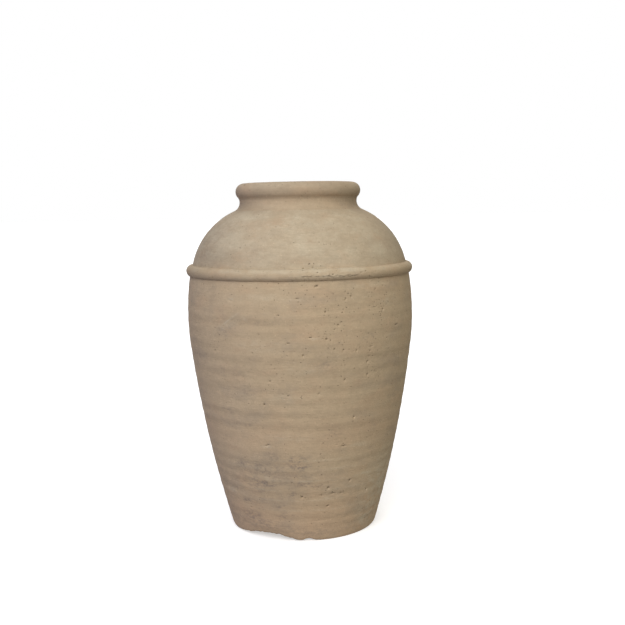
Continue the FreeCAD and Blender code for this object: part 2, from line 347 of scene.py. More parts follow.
def ragged(
    turns: Point, level: float, count: int, tall: float, deep: float, seed: int
) -> tuple[Mark, ...]:
    """Makes a broken crack: short gouges that follow each other unevenly.

    Args:
        turns: Where it starts and ends.
        level: Its level, in millimetres.
        count: How many gouges it has.
        tall: Their height, in millimetres.
        deep: Their greatest depth, in millimetres.
        seed: Start of the random draws.

    Returns:
        The gouges.
    """
    draw = random.Random(seed)
    stray, shortest, longest, tilt = 0.9, 2.6, 7.0, 22.0
    marks = []
    for i in range(count):
        turn = turns[0] + (turns[1] - turns[0]) * (i + draw.uniform(0.1, 0.9)) / count
        marks.append(
            Mark(
                turn,
                level + draw.uniform(-stray, stray),
                draw.uniform(shortest, longest),
                tall * draw.uniform(0.7, 1.2),
                deep * draw.uniform(0.35, 1.0),
                draw.uniform(-tilt, tilt),
            )
        )
    return tuple(marks)


CORDON_MARKS = (
    Mark(1.7, 383.8, 2.6, 2.8, 1.3),
    Mark(6.5, 384.8, 2.4, 2.0, 1.0),
    *ragged((1.0, 28.0), 374.4, 15, 1.1, 0.32, 11),
    *ragged((1.5, 28.0), 376.0, 19, 1.4, -0.65, 21),
    *ragged((10.0, 28.0), 373.0, 9, 1.1, -0.4, 22),
    *ragged((13.0, 22.0), 383.4, 5, 1.3, -0.6, 12),
    *ragged((70.0, 104.0), 373.5, 14, 1.6, 0.7, 13),
    *ragged((-140.0, -118.0), 379.0, 8, 1.6, 0.7, 14),
    *ragged((172.0, 196.0), 372.8, 10, 1.6, 0.7, 15),
)
SHOULDER_MARKS = (
    Mark(1.7, 384.8, 2.6, 2.2, 1.2),
    Mark(6.5, 385.8, 2.6, 2.0, 1.1),
    Mark(4.9, 390.8, 3.4, 1.8, 0.6, 30),
    Mark(16.0, 386.4, 4.6, 1.6, -0.6),
    Mark(13.6, 387.2, 3.0, 1.4, -0.4),
    Mark(-33.0, 412.0, 2.2, 2.0, 0.6),
    Mark(-14.0, 421.0, 2.2, 2.0, 0.5),
    Mark(15.0, 444.0, 6.0, 1.4, 0.4, 18),
)
RIM_MARKS = (
    Mark(5.5, 499.6, 9.0, 2.0, 0.5),
    Mark(0.0, 484.0, 2.4, 2.0, 0.6),
    Mark(-62.0, 497.5, 8.0, 3.0, 0.8),
    Mark(128.0, 498.0, 12.0, 3.4, 0.9),
    Mark(-155.0, 498.5, 7.0, 3.0, 0.7),
)

# Where the foot's edge has broken away: turn in degrees, and how high the break reaches in
# millimetres. Straight between them but for a little roughness.
FOOT_BREAKS = (
    (-66.0, 0.0), (-58.0, 1.6), (-55.0, 2.6), (-49.0, 4.0), (-44.0, 5.2), (-40.0, 7.2),
    (-36.0, 8.3), (-22.0, 8.7), (-19.0, 8.2), (-15.0, 6.2), (-12.0, 4.9), (-9.0, 3.5),
    (-6.0, 1.5), (-3.0, 1.0), (-1.5, 1.6), (0.0, 3.0), (3.0, 4.0), (6.0, 2.2), (9.0, 0.8),
    (12.0, 0.3), (20.0, 0.0), (96.0, 0.0), (108.0, 2.6), (117.0, 3.4), (124.0, 1.2),
    (134.0, 0.0), (205.0, 0.0), (214.0, 3.2), (222.0, 2.2), (236.0, 0.0),
)


# -------------------------------------------------------------------- sections and their skins
# Points nearer to each other than this are one.
SAME_PLACE = 1e-7


@dataclass
class Station:
    """One ring of points of a section."""

    radius: float
    level: float
    side: Side
    count: int
    out: Point = (0.0, 0.0)


class Section:
    """A piece's closed outline, turned about the axis into a mesh.

    It runs anticlockwise beside the axis: out along the bottom, up the outside, in over
    the top and down the inside.
    """

    def __init__(self) -> None:
        """Starts with no stations."""
        self.stations: list[Station] = []

    def stretch(
        self,
        points: Sequence[Point],
        side: Side,
        divisions: Divisions = Divisions.COARSE,
        out_at: dict[int, Point] | None = None,
    ) -> "Section":
        """Adds a stretch of skin or joint, which may start on the last station.

        Args:
            points: Radius and level of each station.
            side: What the stretch is to the jar.
            divisions: How finely its rings are divided.
            out_at: Directions to use, in place of the skin's own, for some of its stations.

        Returns:
            This section.
        """
        run = np.array(points)
        along = np.gradient(run, axis=0) if len(run) > 1 else np.array([[0.0, 1.0]])
        along /= np.linalg.norm(along, axis=1)[:, None]
        added = [
            Station(radius, level, side, divisions.value, (rise, -reach))
            for (radius, level), (reach, rise) in zip(points, along.tolist())
        ]
        for index, direction in (out_at or {}).items():
            size = math.hypot(*direction)
            added[index].out = (direction[0] / size, direction[1] / size)
        if self.stations and self.same_place(self.stations[-1], added[0]):
            self.stations.append(self.of_the_two(self.stations.pop(), added.pop(0)))
        self.stations.extend(added)
        return self

    def groove(self, form: Form, radius: float, level: float) -> "Section":
        """Sinks the groove of a joint into a bottom face, on the way out.

        Args:
            form: The jar's form, which has the groove's size.
            radius: Radius of its middle.
            level: Level of the face.

        Returns:
            This section.
        """
        half, depth = form.groove_width / 2, form.groove_depth
        return self.stretch(
            [(radius - half, level), (radius - half, level + depth),
             (radius + half, level + depth), (radius + half, level)],
            Side.JOINT,
        )

    def key(self, form: Form, radius: float, level: float) -> "Section":
        """Raises the key of a joint from a top face, on the way in.

        Args:
            form: The jar's form, which has the key's size.
            radius: Radius of its middle.
            level: Level of the face.

        Returns:
            This section.
        """
        half, height = form.groove_width / 2 - form.slip, form.groove_depth - form.slip
        return self.stretch(
            [(radius + half, level), (radius + half, level + height),
             (radius - half, level + height), (radius - half, level)],
            Side.JOINT,
        )

    @staticmethod
    def same_place(first: Station, second: Station) -> bool:
        """Tells whether two stations are at one radius and level."""
        return math.hypot(first.radius - second.radius, first.level - second.level) < SAME_PLACE

    @staticmethod
    def of_the_two(first: Station, second: Station) -> Station:
        """Picks the station that a corner keeps: skin goes before joint."""
        return second if first.side is Side.JOINT else first

    def close(self) -> None:
        """Drops the last station if the outline has come back to its first."""
        if self.same_place(self.stations[0], self.stations[-1]):
            self.stations[0] = self.of_the_two(self.stations.pop(), self.stations[0])

    def turned(self, name: str) -> bpy.types.Object:
        """Turns the outline about the jar's axis.

        Args:
            name: Name of the piece.

        Returns:
            A closed mesh object. Its points carry their own place, the direction out of
            the skin and how far the skin may move there.
        """
        self.close()
        starts, places, outs, owners = [], [], [], []
        total = 0
        for index, station in enumerate(self.stations):
            count = 1 if station.radius < SAME_PLACE else station.count
            starts.append((total, count))
            places.append(self.ring(station.radius, station.level, count))
            outs.append(self.ring(*station.out, count))
            owners.append(np.full(count, index))
            total += count
        faces: list[tuple[int, ...]] = []
        for index, low in enumerate(starts):
            high = starts[(index + 1) % len(starts)]
            if low[1] > 1 or high[1] > 1:
                faces.extend(self.band(low, high))
        mesh = bpy.data.meshes.new(name)
        mesh.from_pydata(np.concatenate(places).tolist(), [], faces)
        mesh.shade_smooth()
        owner = np.concatenate(owners)
        sides = [station.side for station in self.stations]
        self.store(mesh, "rest", np.concatenate(places))
        self.store(mesh, "out", np.concatenate(outs))
        for side in Side:
            here = np.array([1.0 if s is side else 0.0 for s in sides])
            self.store(mesh, side.value, here[owner])
        self.sharpen(mesh, owner, sides)
        piece = bpy.data.objects.new(name, mesh)
        bpy.context.scene.collection.objects.link(piece)
        return piece

    @staticmethod
    def ring(radius: float, level: float, count: int) -> np.ndarray:
        """Spaces points evenly round the axis.

        Args:
            radius: Their distance from it.
            level: Their level.
            count: How many there are.

        Returns:
            One row for each point, the first at the front.
        """
        angle = np.arange(count) * (math.tau / count)
        return np.stack([radius * np.sin(angle), -radius * np.cos(angle), np.full(count, level)], 1)

    @staticmethod
    def band(low: tuple[int, int], high: tuple[int, int]) -> list[tuple[int, ...]]:
        """Joins two neighbouring rings with faces that point outwards.

        Args:
            low: First point and count of the ring that the outline meets first.
            high: The same for the next ring.

        Returns:
            The faces, as tuples of points.
        """
        (a, many), (b, few) = low, high
        if many == 1:
            return [(a, b + (i + 1) % few, b + i) for i in range(few)]
        if few == 1:
            return [(a + i, a + (i + 1) % many, b) for i in range(many)]
        count = min(many, few)
        along, back = range(many // count + 1), range(few // count, -1, -1)
        return [
            (
                *(a + (i * along[-1] + step) % many for step in along),
                *(b + (i * back[0] + step) % few for step in back),
            )
            for i in range(count)
        ]

    @staticmethod
    def store(mesh: bpy.types.Mesh, name: str, values: np.ndarray) -> None:
        """Keeps a value for each point of a mesh under a name.

        Args:
            mesh: The mesh.
            name: The name.
            values: One number or one row for each point.
        """
        kind, field = ("FLOAT_VECTOR", "vector") if values.ndim > 1 else ("FLOAT", "value")
        attribute = mesh.attributes.new(name, kind, "POINT")
        attribute.data.foreach_set(field, values.astype(np.float32).ravel())

    @staticmethod
    def sharpen(mesh: bpy.types.Mesh, owner: np.ndarray, sides: list[Side]) -> None:
        """Marks the edges of joint faces sharp, so that they don't shade the skin.

        Args:
            mesh: The mesh.
            owner: The station that each point belongs to.
            sides: What each station is to the jar.
        """
        edges = np.zeros(len(mesh.edges) * 2, np.int32)
        mesh.edges.foreach_get("vertices", edges)
        ends = owner[edges.reshape(-1, 2)]
        count = len(sides)
        beside_joint = np.array(
            [
                sides[i] is Side.JOINT
                or sides[i - 1] is Side.JOINT
                or sides[(i + 1) % count] is Side.JOINT
                for i in range(count)
            ]
        )
        sharp = (ends[:, 0] == ends[:, 1]) & beside_joint[ends[:, 0]]
        attribute = mesh.attributes.new("sharp_edge", "BOOLEAN", "EDGE")
        attribute.data.foreach_set("value", sharp)


def read_points(piece: bpy.types.Object, name: str) -> np.ndarray:
    """Reads a value that is kept for each point of a piece.

    Args:
        piece: The piece.
        name: The value's name.

    Returns:
        One row or one number for each point.
    """
    attribute = piece.data.attributes[name]
    size = 3 if attribute.data_type == "FLOAT_VECTOR" else 1
    values = np.zeros(len(attribute.data) * size, np.float32)
    attribute.data.foreach_get("vector" if size == 3 else "value", values)
    return values.reshape(-1, 3).astype(float) if size == 3 else values.astype(float)


def polar(places: np.ndarray) -> tuple[np.ndarray, np.ndarray, np.ndarray]:
    """Turns places into turns in degrees, radii and levels."""
    turns = np.degrees(np.arctan2(places[:, 0], -places[:, 1]))
    return turns, np.hypot(places[:, 0], places[:, 1]), places[:, 2]


# ------------------------------------------------------------------------ wiring node trees
class Flow:
    """What leaves a node by one socket; arithmetic on it places the nodes that do it."""

    def __init__(self, wiring: "Wiring", socket: bpy.types.NodeSocket) -> None:
        """Takes the wiring of the tree and the socket."""
        self.wiring = wiring
        self.socket = socket

    def __add__(self, other: "Source") -> "Flow":
        """Adds a number."""
        return self.wiring.math("ADD", self, other)

    def __sub__(self, other: "Source") -> "Flow":
        """Takes a number away."""
        return self.wiring.math("SUBTRACT", self, other)

    def __rsub__(self, other: float) -> "Flow":
        """Is taken away from a number."""
        return self.wiring.math("SUBTRACT", other, self)

    def __mul__(self, other: "Source") -> "Flow":
        """Multiplies by a number."""
        return self.wiring.math("MULTIPLY", self, other)

    def __truediv__(self, other: "Source") -> "Flow":
        """Divides by a number."""
        return self.wiring.math("DIVIDE", self, other)

    def __lt__(self, other: "Source") -> "Flow":
        """Gives 1 where it is less than the other, and 0 elsewhere."""
        return self.wiring.math("LESS_THAN", self, other)

    def __gt__(self, other: "Source") -> "Flow":
        """Gives 1 where it is greater than the other, and 0 elsewhere."""
        return self.wiring.math("GREATER_THAN", self, other)

    def most(self, other: "Source") -> "Flow":
        """Gives the greater of the two."""
        return self.wiring.math("MAXIMUM", self, other)

    def shifted(self, shift: "Source") -> "Flow":
        """Adds a vector to a vector."""
        return self.wiring.vector("ADD", self, shift)

    def scaled(self, factor: "Source") -> "Flow":
        """Multiplies a vector by a number."""
        return self.wiring.vector("SCALE", self, factor)

    def flattened(self, times: float) -> "Flow":
        """Stretches a place's level, so that noise read there is wider than tall."""
        return self.wiring.vector("MULTIPLY", self, (1.0, 1.0, times))

    def parts(self) -> list["Flow"]:
        """Splits a vector or a colour into its three numbers."""
        split = self.wiring.node("ShaderNodeSeparateXYZ", {0: self})
        return [Flow(self.wiring, socket) for socket in split.outputs]


Source = Flow | float | tuple | bpy.types.Material
Socket = str | int
FLOAT, VECTOR, COLOUR = "NodeSocketFloat", "NodeSocketVector", "NodeSocketColor"


@dataclass(frozen=True)
class Cloud:
    """A field of cloud noise, and how it is cut into patches.

    size is in clouds per metre, and flat is how many times wider than tall they are;
    detail and rough say how finely they break up. Patches fade in from least, where the
    noise is below thin, to most, where it is above thick.
    """

    size: float
    detail: float = 2.0
    rough: float = 0.5
    flat: float = 1.0
    thin: float = 0.0
    thick: float = 1.0
    least: float = 0.0
    most: float = 1.0


class Wiring:
    """Short ways to place and join the nodes of one tree.

    MIX_INPUTS and MIX_OUTPUT number the sockets that colours use on a mix node, which has
    a set of sockets of the same names for each type.
    """

    MIX_INPUTS = (0, 6, 7)
    MIX_OUTPUT = 2

    def __init__(self, tree: bpy.types.NodeTree) -> None:
        """Takes the tree to work in."""
        self.tree = tree

    def feed(self, source: Source, socket: bpy.types.NodeSocket) -> None:
        """Joins a flow to a socket, or sets the socket to a constant.

        Args:
            source: The flow or the constant; a colour comes without its alpha.
            socket: The socket that it enters by.
        """
        if isinstance(source, Flow):
            self.tree.links.new(source.socket, socket)
        else:
            socket.default_value = (*source, 1.0) if socket.type == "RGBA" else source

    def node(
        self, kind: str, sources: dict[Socket, Source] | None = None, **settings: object
    ) -> bpy.types.Node:
        """Places a node.

        Args:
            kind: Its type.
            sources: What enters it, by the name or the number of the socket.
            settings: Its options.

        Returns:
            The node.
        """
        made = self.tree.nodes.new(kind)
        for name, value in settings.items():
            setattr(made, name, value)
        for socket, source in (sources or {}).items():
            self.feed(source, made.inputs[socket])
        return made

    def flow(
        self, kind: str, sources: dict[Socket, Source], leaving: Socket = 0, **settings: object
    ) -> Flow:
        """Places a node for what leaves it.

        Args:
            kind: Its type.
            sources: What enters it.
            leaving: The socket to leave by.
            settings: Its options.

        Returns:
            What leaves it.
        """
        return Flow(self, self.node(kind, sources, **settings).outputs[leaving])

    def math(self, operation: str, *sources: Source, clamp: bool = False) -> Flow:
        """Works out one step of arithmetic."""
        entering = dict(enumerate(sources))
        return self.flow("ShaderNodeMath", entering, operation=operation, use_clamp=clamp)

    def vector(self, operation: str, first: Source, second: Source) -> Flow:
        """Works out one step with vectors."""
        entering = {0: first, "Scale" if operation == "SCALE" else 1: second}
        return self.flow("ShaderNodeVectorMath", entering, operation=operation)

    def noise(self, place: Flow, cloud: Cloud) -> Flow:
        """Gives cloud noise.

        Args:
            place: Where each point is.
            cloud: The kind of clouds.

        Returns:
            The noise, from 0 to 1.
        """
        if cloud.flat != 1.0:
            place = place.flattened(cloud.flat)
        return self.flow(
            "ShaderNodeTexNoise",
            {"Vector": place, "Scale": cloud.size, "Detail": cloud.detail, "Roughness": cloud.rough},
            noise_dimensions="3D",
        )

    def swing(self, place: Flow, cloud: Cloud) -> Flow:
        """Gives cloud noise that swings evenly about 0."""
        return self.noise(place, cloud) - 0.5

    def patches(self, place: Flow, cloud: Cloud) -> Flow:
        """Cuts cloud noise into soft patches."""
        noise = self.noise(place, cloud)
        return self.remap(noise, cloud.thin, cloud.thick, cloud.least, cloud.most)

    def cells(self, place: Flow, size: float) -> tuple[Flow, list[Flow]]:
        """Scatters cells.

        Args:
            place: Where each point is.
            size: How many cells there are in a metre.

        Returns:
            How far each point is from its cell's middle, in cells, and three numbers
            drawn for the cell.
        """
        made = self.node(
            "ShaderNodeTexVoronoi",
            {"Vector": place, "Scale": size},
            voronoi_dimensions="3D",
            feature="F1",
        )
        return Flow(self, made.outputs["Distance"]), Flow(self, made.outputs["Color"]).parts()

    def remap(
        self, value: Source, low: Source, high: Source, first: Source = 0.0, last: Source = 1.0
    ) -> Flow:
        """Maps one range of values to another, with a soft start and end.

        Args:
            value: What is mapped.
            low: Where the range starts; what lies below it counts as this.
            high: Where it ends; what lies above it counts as this.
            first: What low is mapped to.
            last: What high is mapped to.

        Returns:
            The mapped value.
        """
        return self.flow(
            "ShaderNodeMapRange",
            {"Value": value, "From Min": low, "From Max": high, "To Min": first, "To Max": last},
            "Result",
            interpolation_type="SMOOTHSTEP",
        )

    def turned(self, place: Flow, rotation: Triple, scale: Triple) -> Flow:
        """Turns and stretches a place.

        Args:
            place: Where each point is.
            rotation: Degrees about each axis.
            scale: The stretch along each axis.

        Returns:
            Where the point is looked up.
        """
        angles = tuple(math.radians(angle) for angle in rotation)
        entering = {"Vector": place, "Rotation": angles, "Scale": scale}
        return self.flow("ShaderNodeMapping", entering, vector_type="POINT")

    def mix(self, share: Source, first: Source, second: Source) -> Flow:
        """Mixes two colours by the second's share."""
        entering = dict(zip(self.MIX_INPUTS, (share, first, second)))
        return self.flow("ShaderNodeMix", entering, self.MIX_OUTPUT, data_type="RGBA")

    def kept(self, name: str, leaving: Socket = "Fac") -> Flow:
        """Reads in a finish what the piece keeps for each point."""
        named = {"attribute_type": "GEOMETRY", "attribute_name": name}
        return self.flow("ShaderNodeAttribute", {}, leaving, **named)

    def bump(self, height: Flow, strength: float, distance: float) -> Flow:
        """Gives the normal of a rough face, from its height and how deep that goes."""
        entering = {"Strength": strength, "Distance": distance, "Height": height}
        return self.flow("ShaderNodeBump", entering, "Normal")

    def effect(self, group: bpy.types.NodeTree, **sources: Source) -> dict[str, Flow]:
        """Places a shared effect.

        Args:
            group: The effect.
            sources: What enters it; a space in a socket's name is written as an underscore.

        Returns:
            What leaves it, by name.
        """
        entering = {name.replace("_", " "): source for name, source in sources.items()}
        node = self.node("ShaderNodeGroup", entering, node_tree=group)
        return {socket.name: Flow(self, socket) for socket in node.outputs}


Tree = tuple[Wiring, dict[str, Flow], bpy.types.NodeInputs]


def new_tree(
    name: str, kind: str, inputs: dict[str, str | float], outputs: dict[str, str]
) -> Tree:
    """Makes a node group with named sockets.

    Args:
        name: The group's name.
        kind: ShaderNodeTree or GeometryNodeTree.
        inputs: The type of each input, or the usual value of one that takes a number.
        outputs: The type of each output.

    Returns:
        The wiring of the new tree, what enters it, and the sockets of its results.
    """
    tree = bpy.data.node_groups.new(name, kind)
    for label, usual in inputs.items():
        typed = isinstance(usual, str)
        made = tree.interface.new_socket(
            name=label, in_out="INPUT", socket_type=usual if typed else FLOAT
        )
        if not typed:
            made.default_value = usual
    for label, socket_type in outputs.items():
        tree.interface.new_socket(name=label, in_out="OUTPUT", socket_type=socket_type)
    wiring = Wiring(tree)
    entering = wiring.node("NodeGroupInput").outputs
    given = {socket.name: Flow(wiring, socket) for socket in entering if socket.name in inputs}
    return wiring, given, wiring.node("NodeGroupOutput").inputs


def new_material(name: str) -> tuple[bpy.types.Material, Wiring, bpy.types.NodeInputs]:
    """Makes a material of one plain shader.

    Args:
        name: Its name.

    Returns:
        The material, its wiring and the sockets of its shader.
    """
    material = bpy.data.materials.new(name)
    material.use_nodes = True
    wiring = Wiring(material.node_tree)
    return material, wiring, wiring.tree.nodes["Principled BSDF"].inputs


class Pitting:
    """Small pits, scattered the same way for the skin's shape as for its finish.

    One may lie in each of the CELLS in a metre, which are FLAT times wider than tall and
    bent out of shape by WARP metres. It reaches LEAST_REACH to 1 times the largest, with a
    floor FLOOR times as wide.
    """

    CELLS = 205.0
    FLAT = 1.45
    WARP = 0.0022
    LEAST_REACH = 0.4
    FLOOR = 0.45
    WAVER = Cloud(260.0)
    CLUSTERS = Cloud(26.0, thin=0.44, thick=0.62, least=0.08, most=1.15)

    @classmethod
    def scatter(cls, w: Wiring, place: Flow, share: Flow, size: Flow) -> Flow:
        """Scatters the pits.

        Args:
            w: Wiring of the tree that they are needed in.
            place: Where each point is.
            share: The share of the cells that hold a pit.
            size: The largest pit's reach.

        Returns:
            1 at the bottom of a pit and 0 between them.
        """
        warped = place.shifted(w.noise(place, cls.WAVER).scaled(cls.WARP))
        distance, lots = w.cells(warped.flattened(cls.FLAT), cls.CELLS)
        chosen = lots[0] < share * w.patches(place, cls.CLUSTERS)
        reach = size * w.remap(lots[1], 0.0, 1.0, cls.LEAST_REACH)
        return w.remap(distance / cls.CELLS, reach * cls.FLOOR, reach, 1.0, 0.0) * chosen


# ----------------------------------------------------------------------------- thrown clay
@dataclass(frozen=True)
class Throw:
    """How strongly the hand shows in a piece's skin.

    Most are the full height that something gives the skin: the fingers' rings, the drag
    of the hand, the sway of the whole wall, lumps, grain and pits. drift is how far a ring
    wanders up and down, and inside_gain how many times stronger rings and drag are inside.
    """

    fingers: float = 0.50 * MM
    drift: float = 3.5 * MM
    drag: float = 0.22 * MM
    sway: float = 0.70 * MM
    lumps: float = 0.30 * MM
    grain: float = 0.16 * MM
    pit_depth: float = 0.90 * MM
    pit_size: float = 1.15 * MM
    inside_gain: float = 2.2

    def inputs(self) -> dict[str, float]:
        """Pairs each named input of the throwing tree, such as Pit Depth, with its value."""
        return {name.replace("_", " ").title(): value for name, value in asdict(self).items()}


# Levels of the hollows that the fingers left going up the wall, in millimetres, each with
# its share of the deepest.
FINGER_HOLLOWS = (
    (8, 0.3), (22, 0.5), (34, 0.9), (54, 0.8), (72, 1.0), (87, 0.9), (101, 0.7), (117, 0.9),
    (130, 0.5), (148, 0.4), (168, 1.0), (186, 0.9), (203, 0.4), (220, 0.7), (243, 1.0),
    (261, 0.9), (279, 0.4), (294, 0.5), (315, 0.9), (330, 0.7), (348, 0.3), (372, 0.2),
    (392, 0.3), (412, 0.25), (436, 0.3), (462, 0.1), (500, 0.1),
)


class ThrownClay:
    """The node tree that throws a plain turned skin.

    TOP is the level at which the curve of the fingers' rings ends. LOWEST keeps the skin
    from sinking into the ground.
    """

    TOP = 0.5
    WANDER = Cloud(5.5, detail=1.5)
    WORN_RINGS = Cloud(8.0, flat=2.6, thin=0.32, thick=0.66, least=0.35)
    DRAG = Cloud(24.0, detail=3.0, rough=0.6, flat=14.0)
    SWAY = Cloud(4.6, detail=1.0)
    LUMPS = Cloud(34.0)
    GRAIN = Cloud(190.0, detail=2.5, rough=0.6)
    LOWEST = (-1.0, -1.0, 0.0)

    def __init__(self) -> None:
        """Builds the tree once, for every piece."""
        geometry = {"Geometry": "NodeSocketGeometry"}
        inputs = {**geometry, **Throw().inputs(), "Clay": "NodeSocketMaterial"}
        self.wiring, given, result = new_tree("thrown clay", "GeometryNodeTree", inputs, geometry)
        self.tree = self.wiring.tree
        self.tree.is_modifier = True
        self.wire(given, result[0])

    def named(self, name: str, kind: str = "FLOAT") -> Flow:
        """Reads a value kept for each point."""
        node = self.wiring.node("GeometryNodeInputNamedAttribute", {"Name": name}, data_type=kind)
        return Flow(self.wiring, node.outputs["Attribute"])

    def finger_rings(self, place: Flow, drift: Flow) -> Flow:
        """Gives the fingers' rings.

        Args:
            place: Where each point is.
            drift: How far a ring wanders up and down on its way round.

        Returns:
            The rings' height, from -1 in a hollow to 0 on a crest.
        """
        w = self.wiring
        level = place.parts()[2] + w.swing(place, self.WANDER) * (drift * 2.0)
        share_of_top = w.math("DIVIDE", level, self.TOP, clamp=True)
        curve = w.node("ShaderNodeFloatCurve", {"Value": share_of_top})
        spots: list[Point] = []
        for (low, share), (high, _) in zip(FINGER_HOLLOWS, FINGER_HOLLOWS[1:]):
            spots += [(low, 1.0 - share), ((low + high) / 2, 1.0)]
        last, share = FINGER_HOLLOWS[-1]
        points = curve.mapping.curves[0].points
        points[0].location = (0.0, 1.0)
        points[1].location = (last * MM / self.TOP, 1.0 - share)
        for spot, height in spots:
            points.new(spot * MM / self.TOP, height)
        curve.mapping.update()
        return (Flow(w, curve.outputs[0]) - 1.0) * w.patches(place, self.WORN_RINGS)

    def wire(self, given: dict[str, Flow], result: bpy.types.NodeSocket) -> None:
        """Joins the tree up.

        Args:
            given: What enters the tree, by name.
            result: Where the thrown geometry goes.
        """
        w = self.wiring
        place = self.named("rest", "FLOAT_VECTOR")
        skins = (Side.OUTSIDE, Side.INSIDE, Side.UNDER)
        outside, inside, under = (self.named(side.value) for side in skins)
        rings = self.finger_rings(place, given["Drift"])
        pits = Pitting.scatter(w, place, self.named("pitted"), given["Pit Size"])
        hand = outside + inside * given["Inside Gain"]
        skin = outside + inside + under
        height = (
            rings * given["Fingers"] * hand
            + w.swing(place, self.DRAG) * given["Drag"] * hand
            + w.swing(place, self.SWAY) * given["Sway"] * skin
            + w.swing(place, self.LUMPS) * given["Lumps"] * skin
            + w.swing(place, self.GRAIN) * given["Grain"] * skin
            - pits * given["Pit Depth"] * skin
            - self.named("mark")
        )
        turned = w.flow("GeometryNodeInputPosition", {})
        thrown = turned.shifted(self.named("out", "FLOAT_VECTOR").scaled(height))
        above = w.vector("MAXIMUM", thrown, self.LOWEST)
        moved = w.flow("GeometryNodeSetPosition", {"Geometry": given["Geometry"], "Position": above})
        entering = {"Geometry": moved, "Name": "rings", "Value": rings}
        kept = w.flow("GeometryNodeStoreNamedAttribute", entering, data_type="FLOAT", domain="POINT")
        real = w.flow("GeometryNodeRealizeInstances", {0: kept})
        clad = w.flow("GeometryNodeSetMaterial", {"Geometry": real, "Material": given["Clay"]})
        w.feed(clad, result)

    def throw(self, piece: bpy.types.Object, throw: Throw, clay: bpy.types.Material) -> None:
        """Throws a piece, and leaves it a plain mesh.

        Args:
            piece: The turned piece.
            throw: How strongly the hand shows in it.
            clay: Its finish.
        """
        modifier = piece.modifiers.new("thrown clay", "NODES")
        modifier.node_group = self.tree
        values: dict[str, object] = {**throw.inputs(), "Clay": clay}
        for item in self.tree.interface.items_tree:
            if item.in_out == "INPUT" and item.name in values:
                modifier[item.identifier] = values[item.name]
        depsgraph = bpy.context.evaluated_depsgraph_get()
        thrown = bpy.data.meshes.new_from_object(piece.evaluated_get(depsgraph), depsgraph=depsgraph)
        piece.modifiers.remove(modifier)
        plain = piece.data
        piece.data = thrown
        bpy.data.meshes.remove(plain)
        thrown.name = piece.name


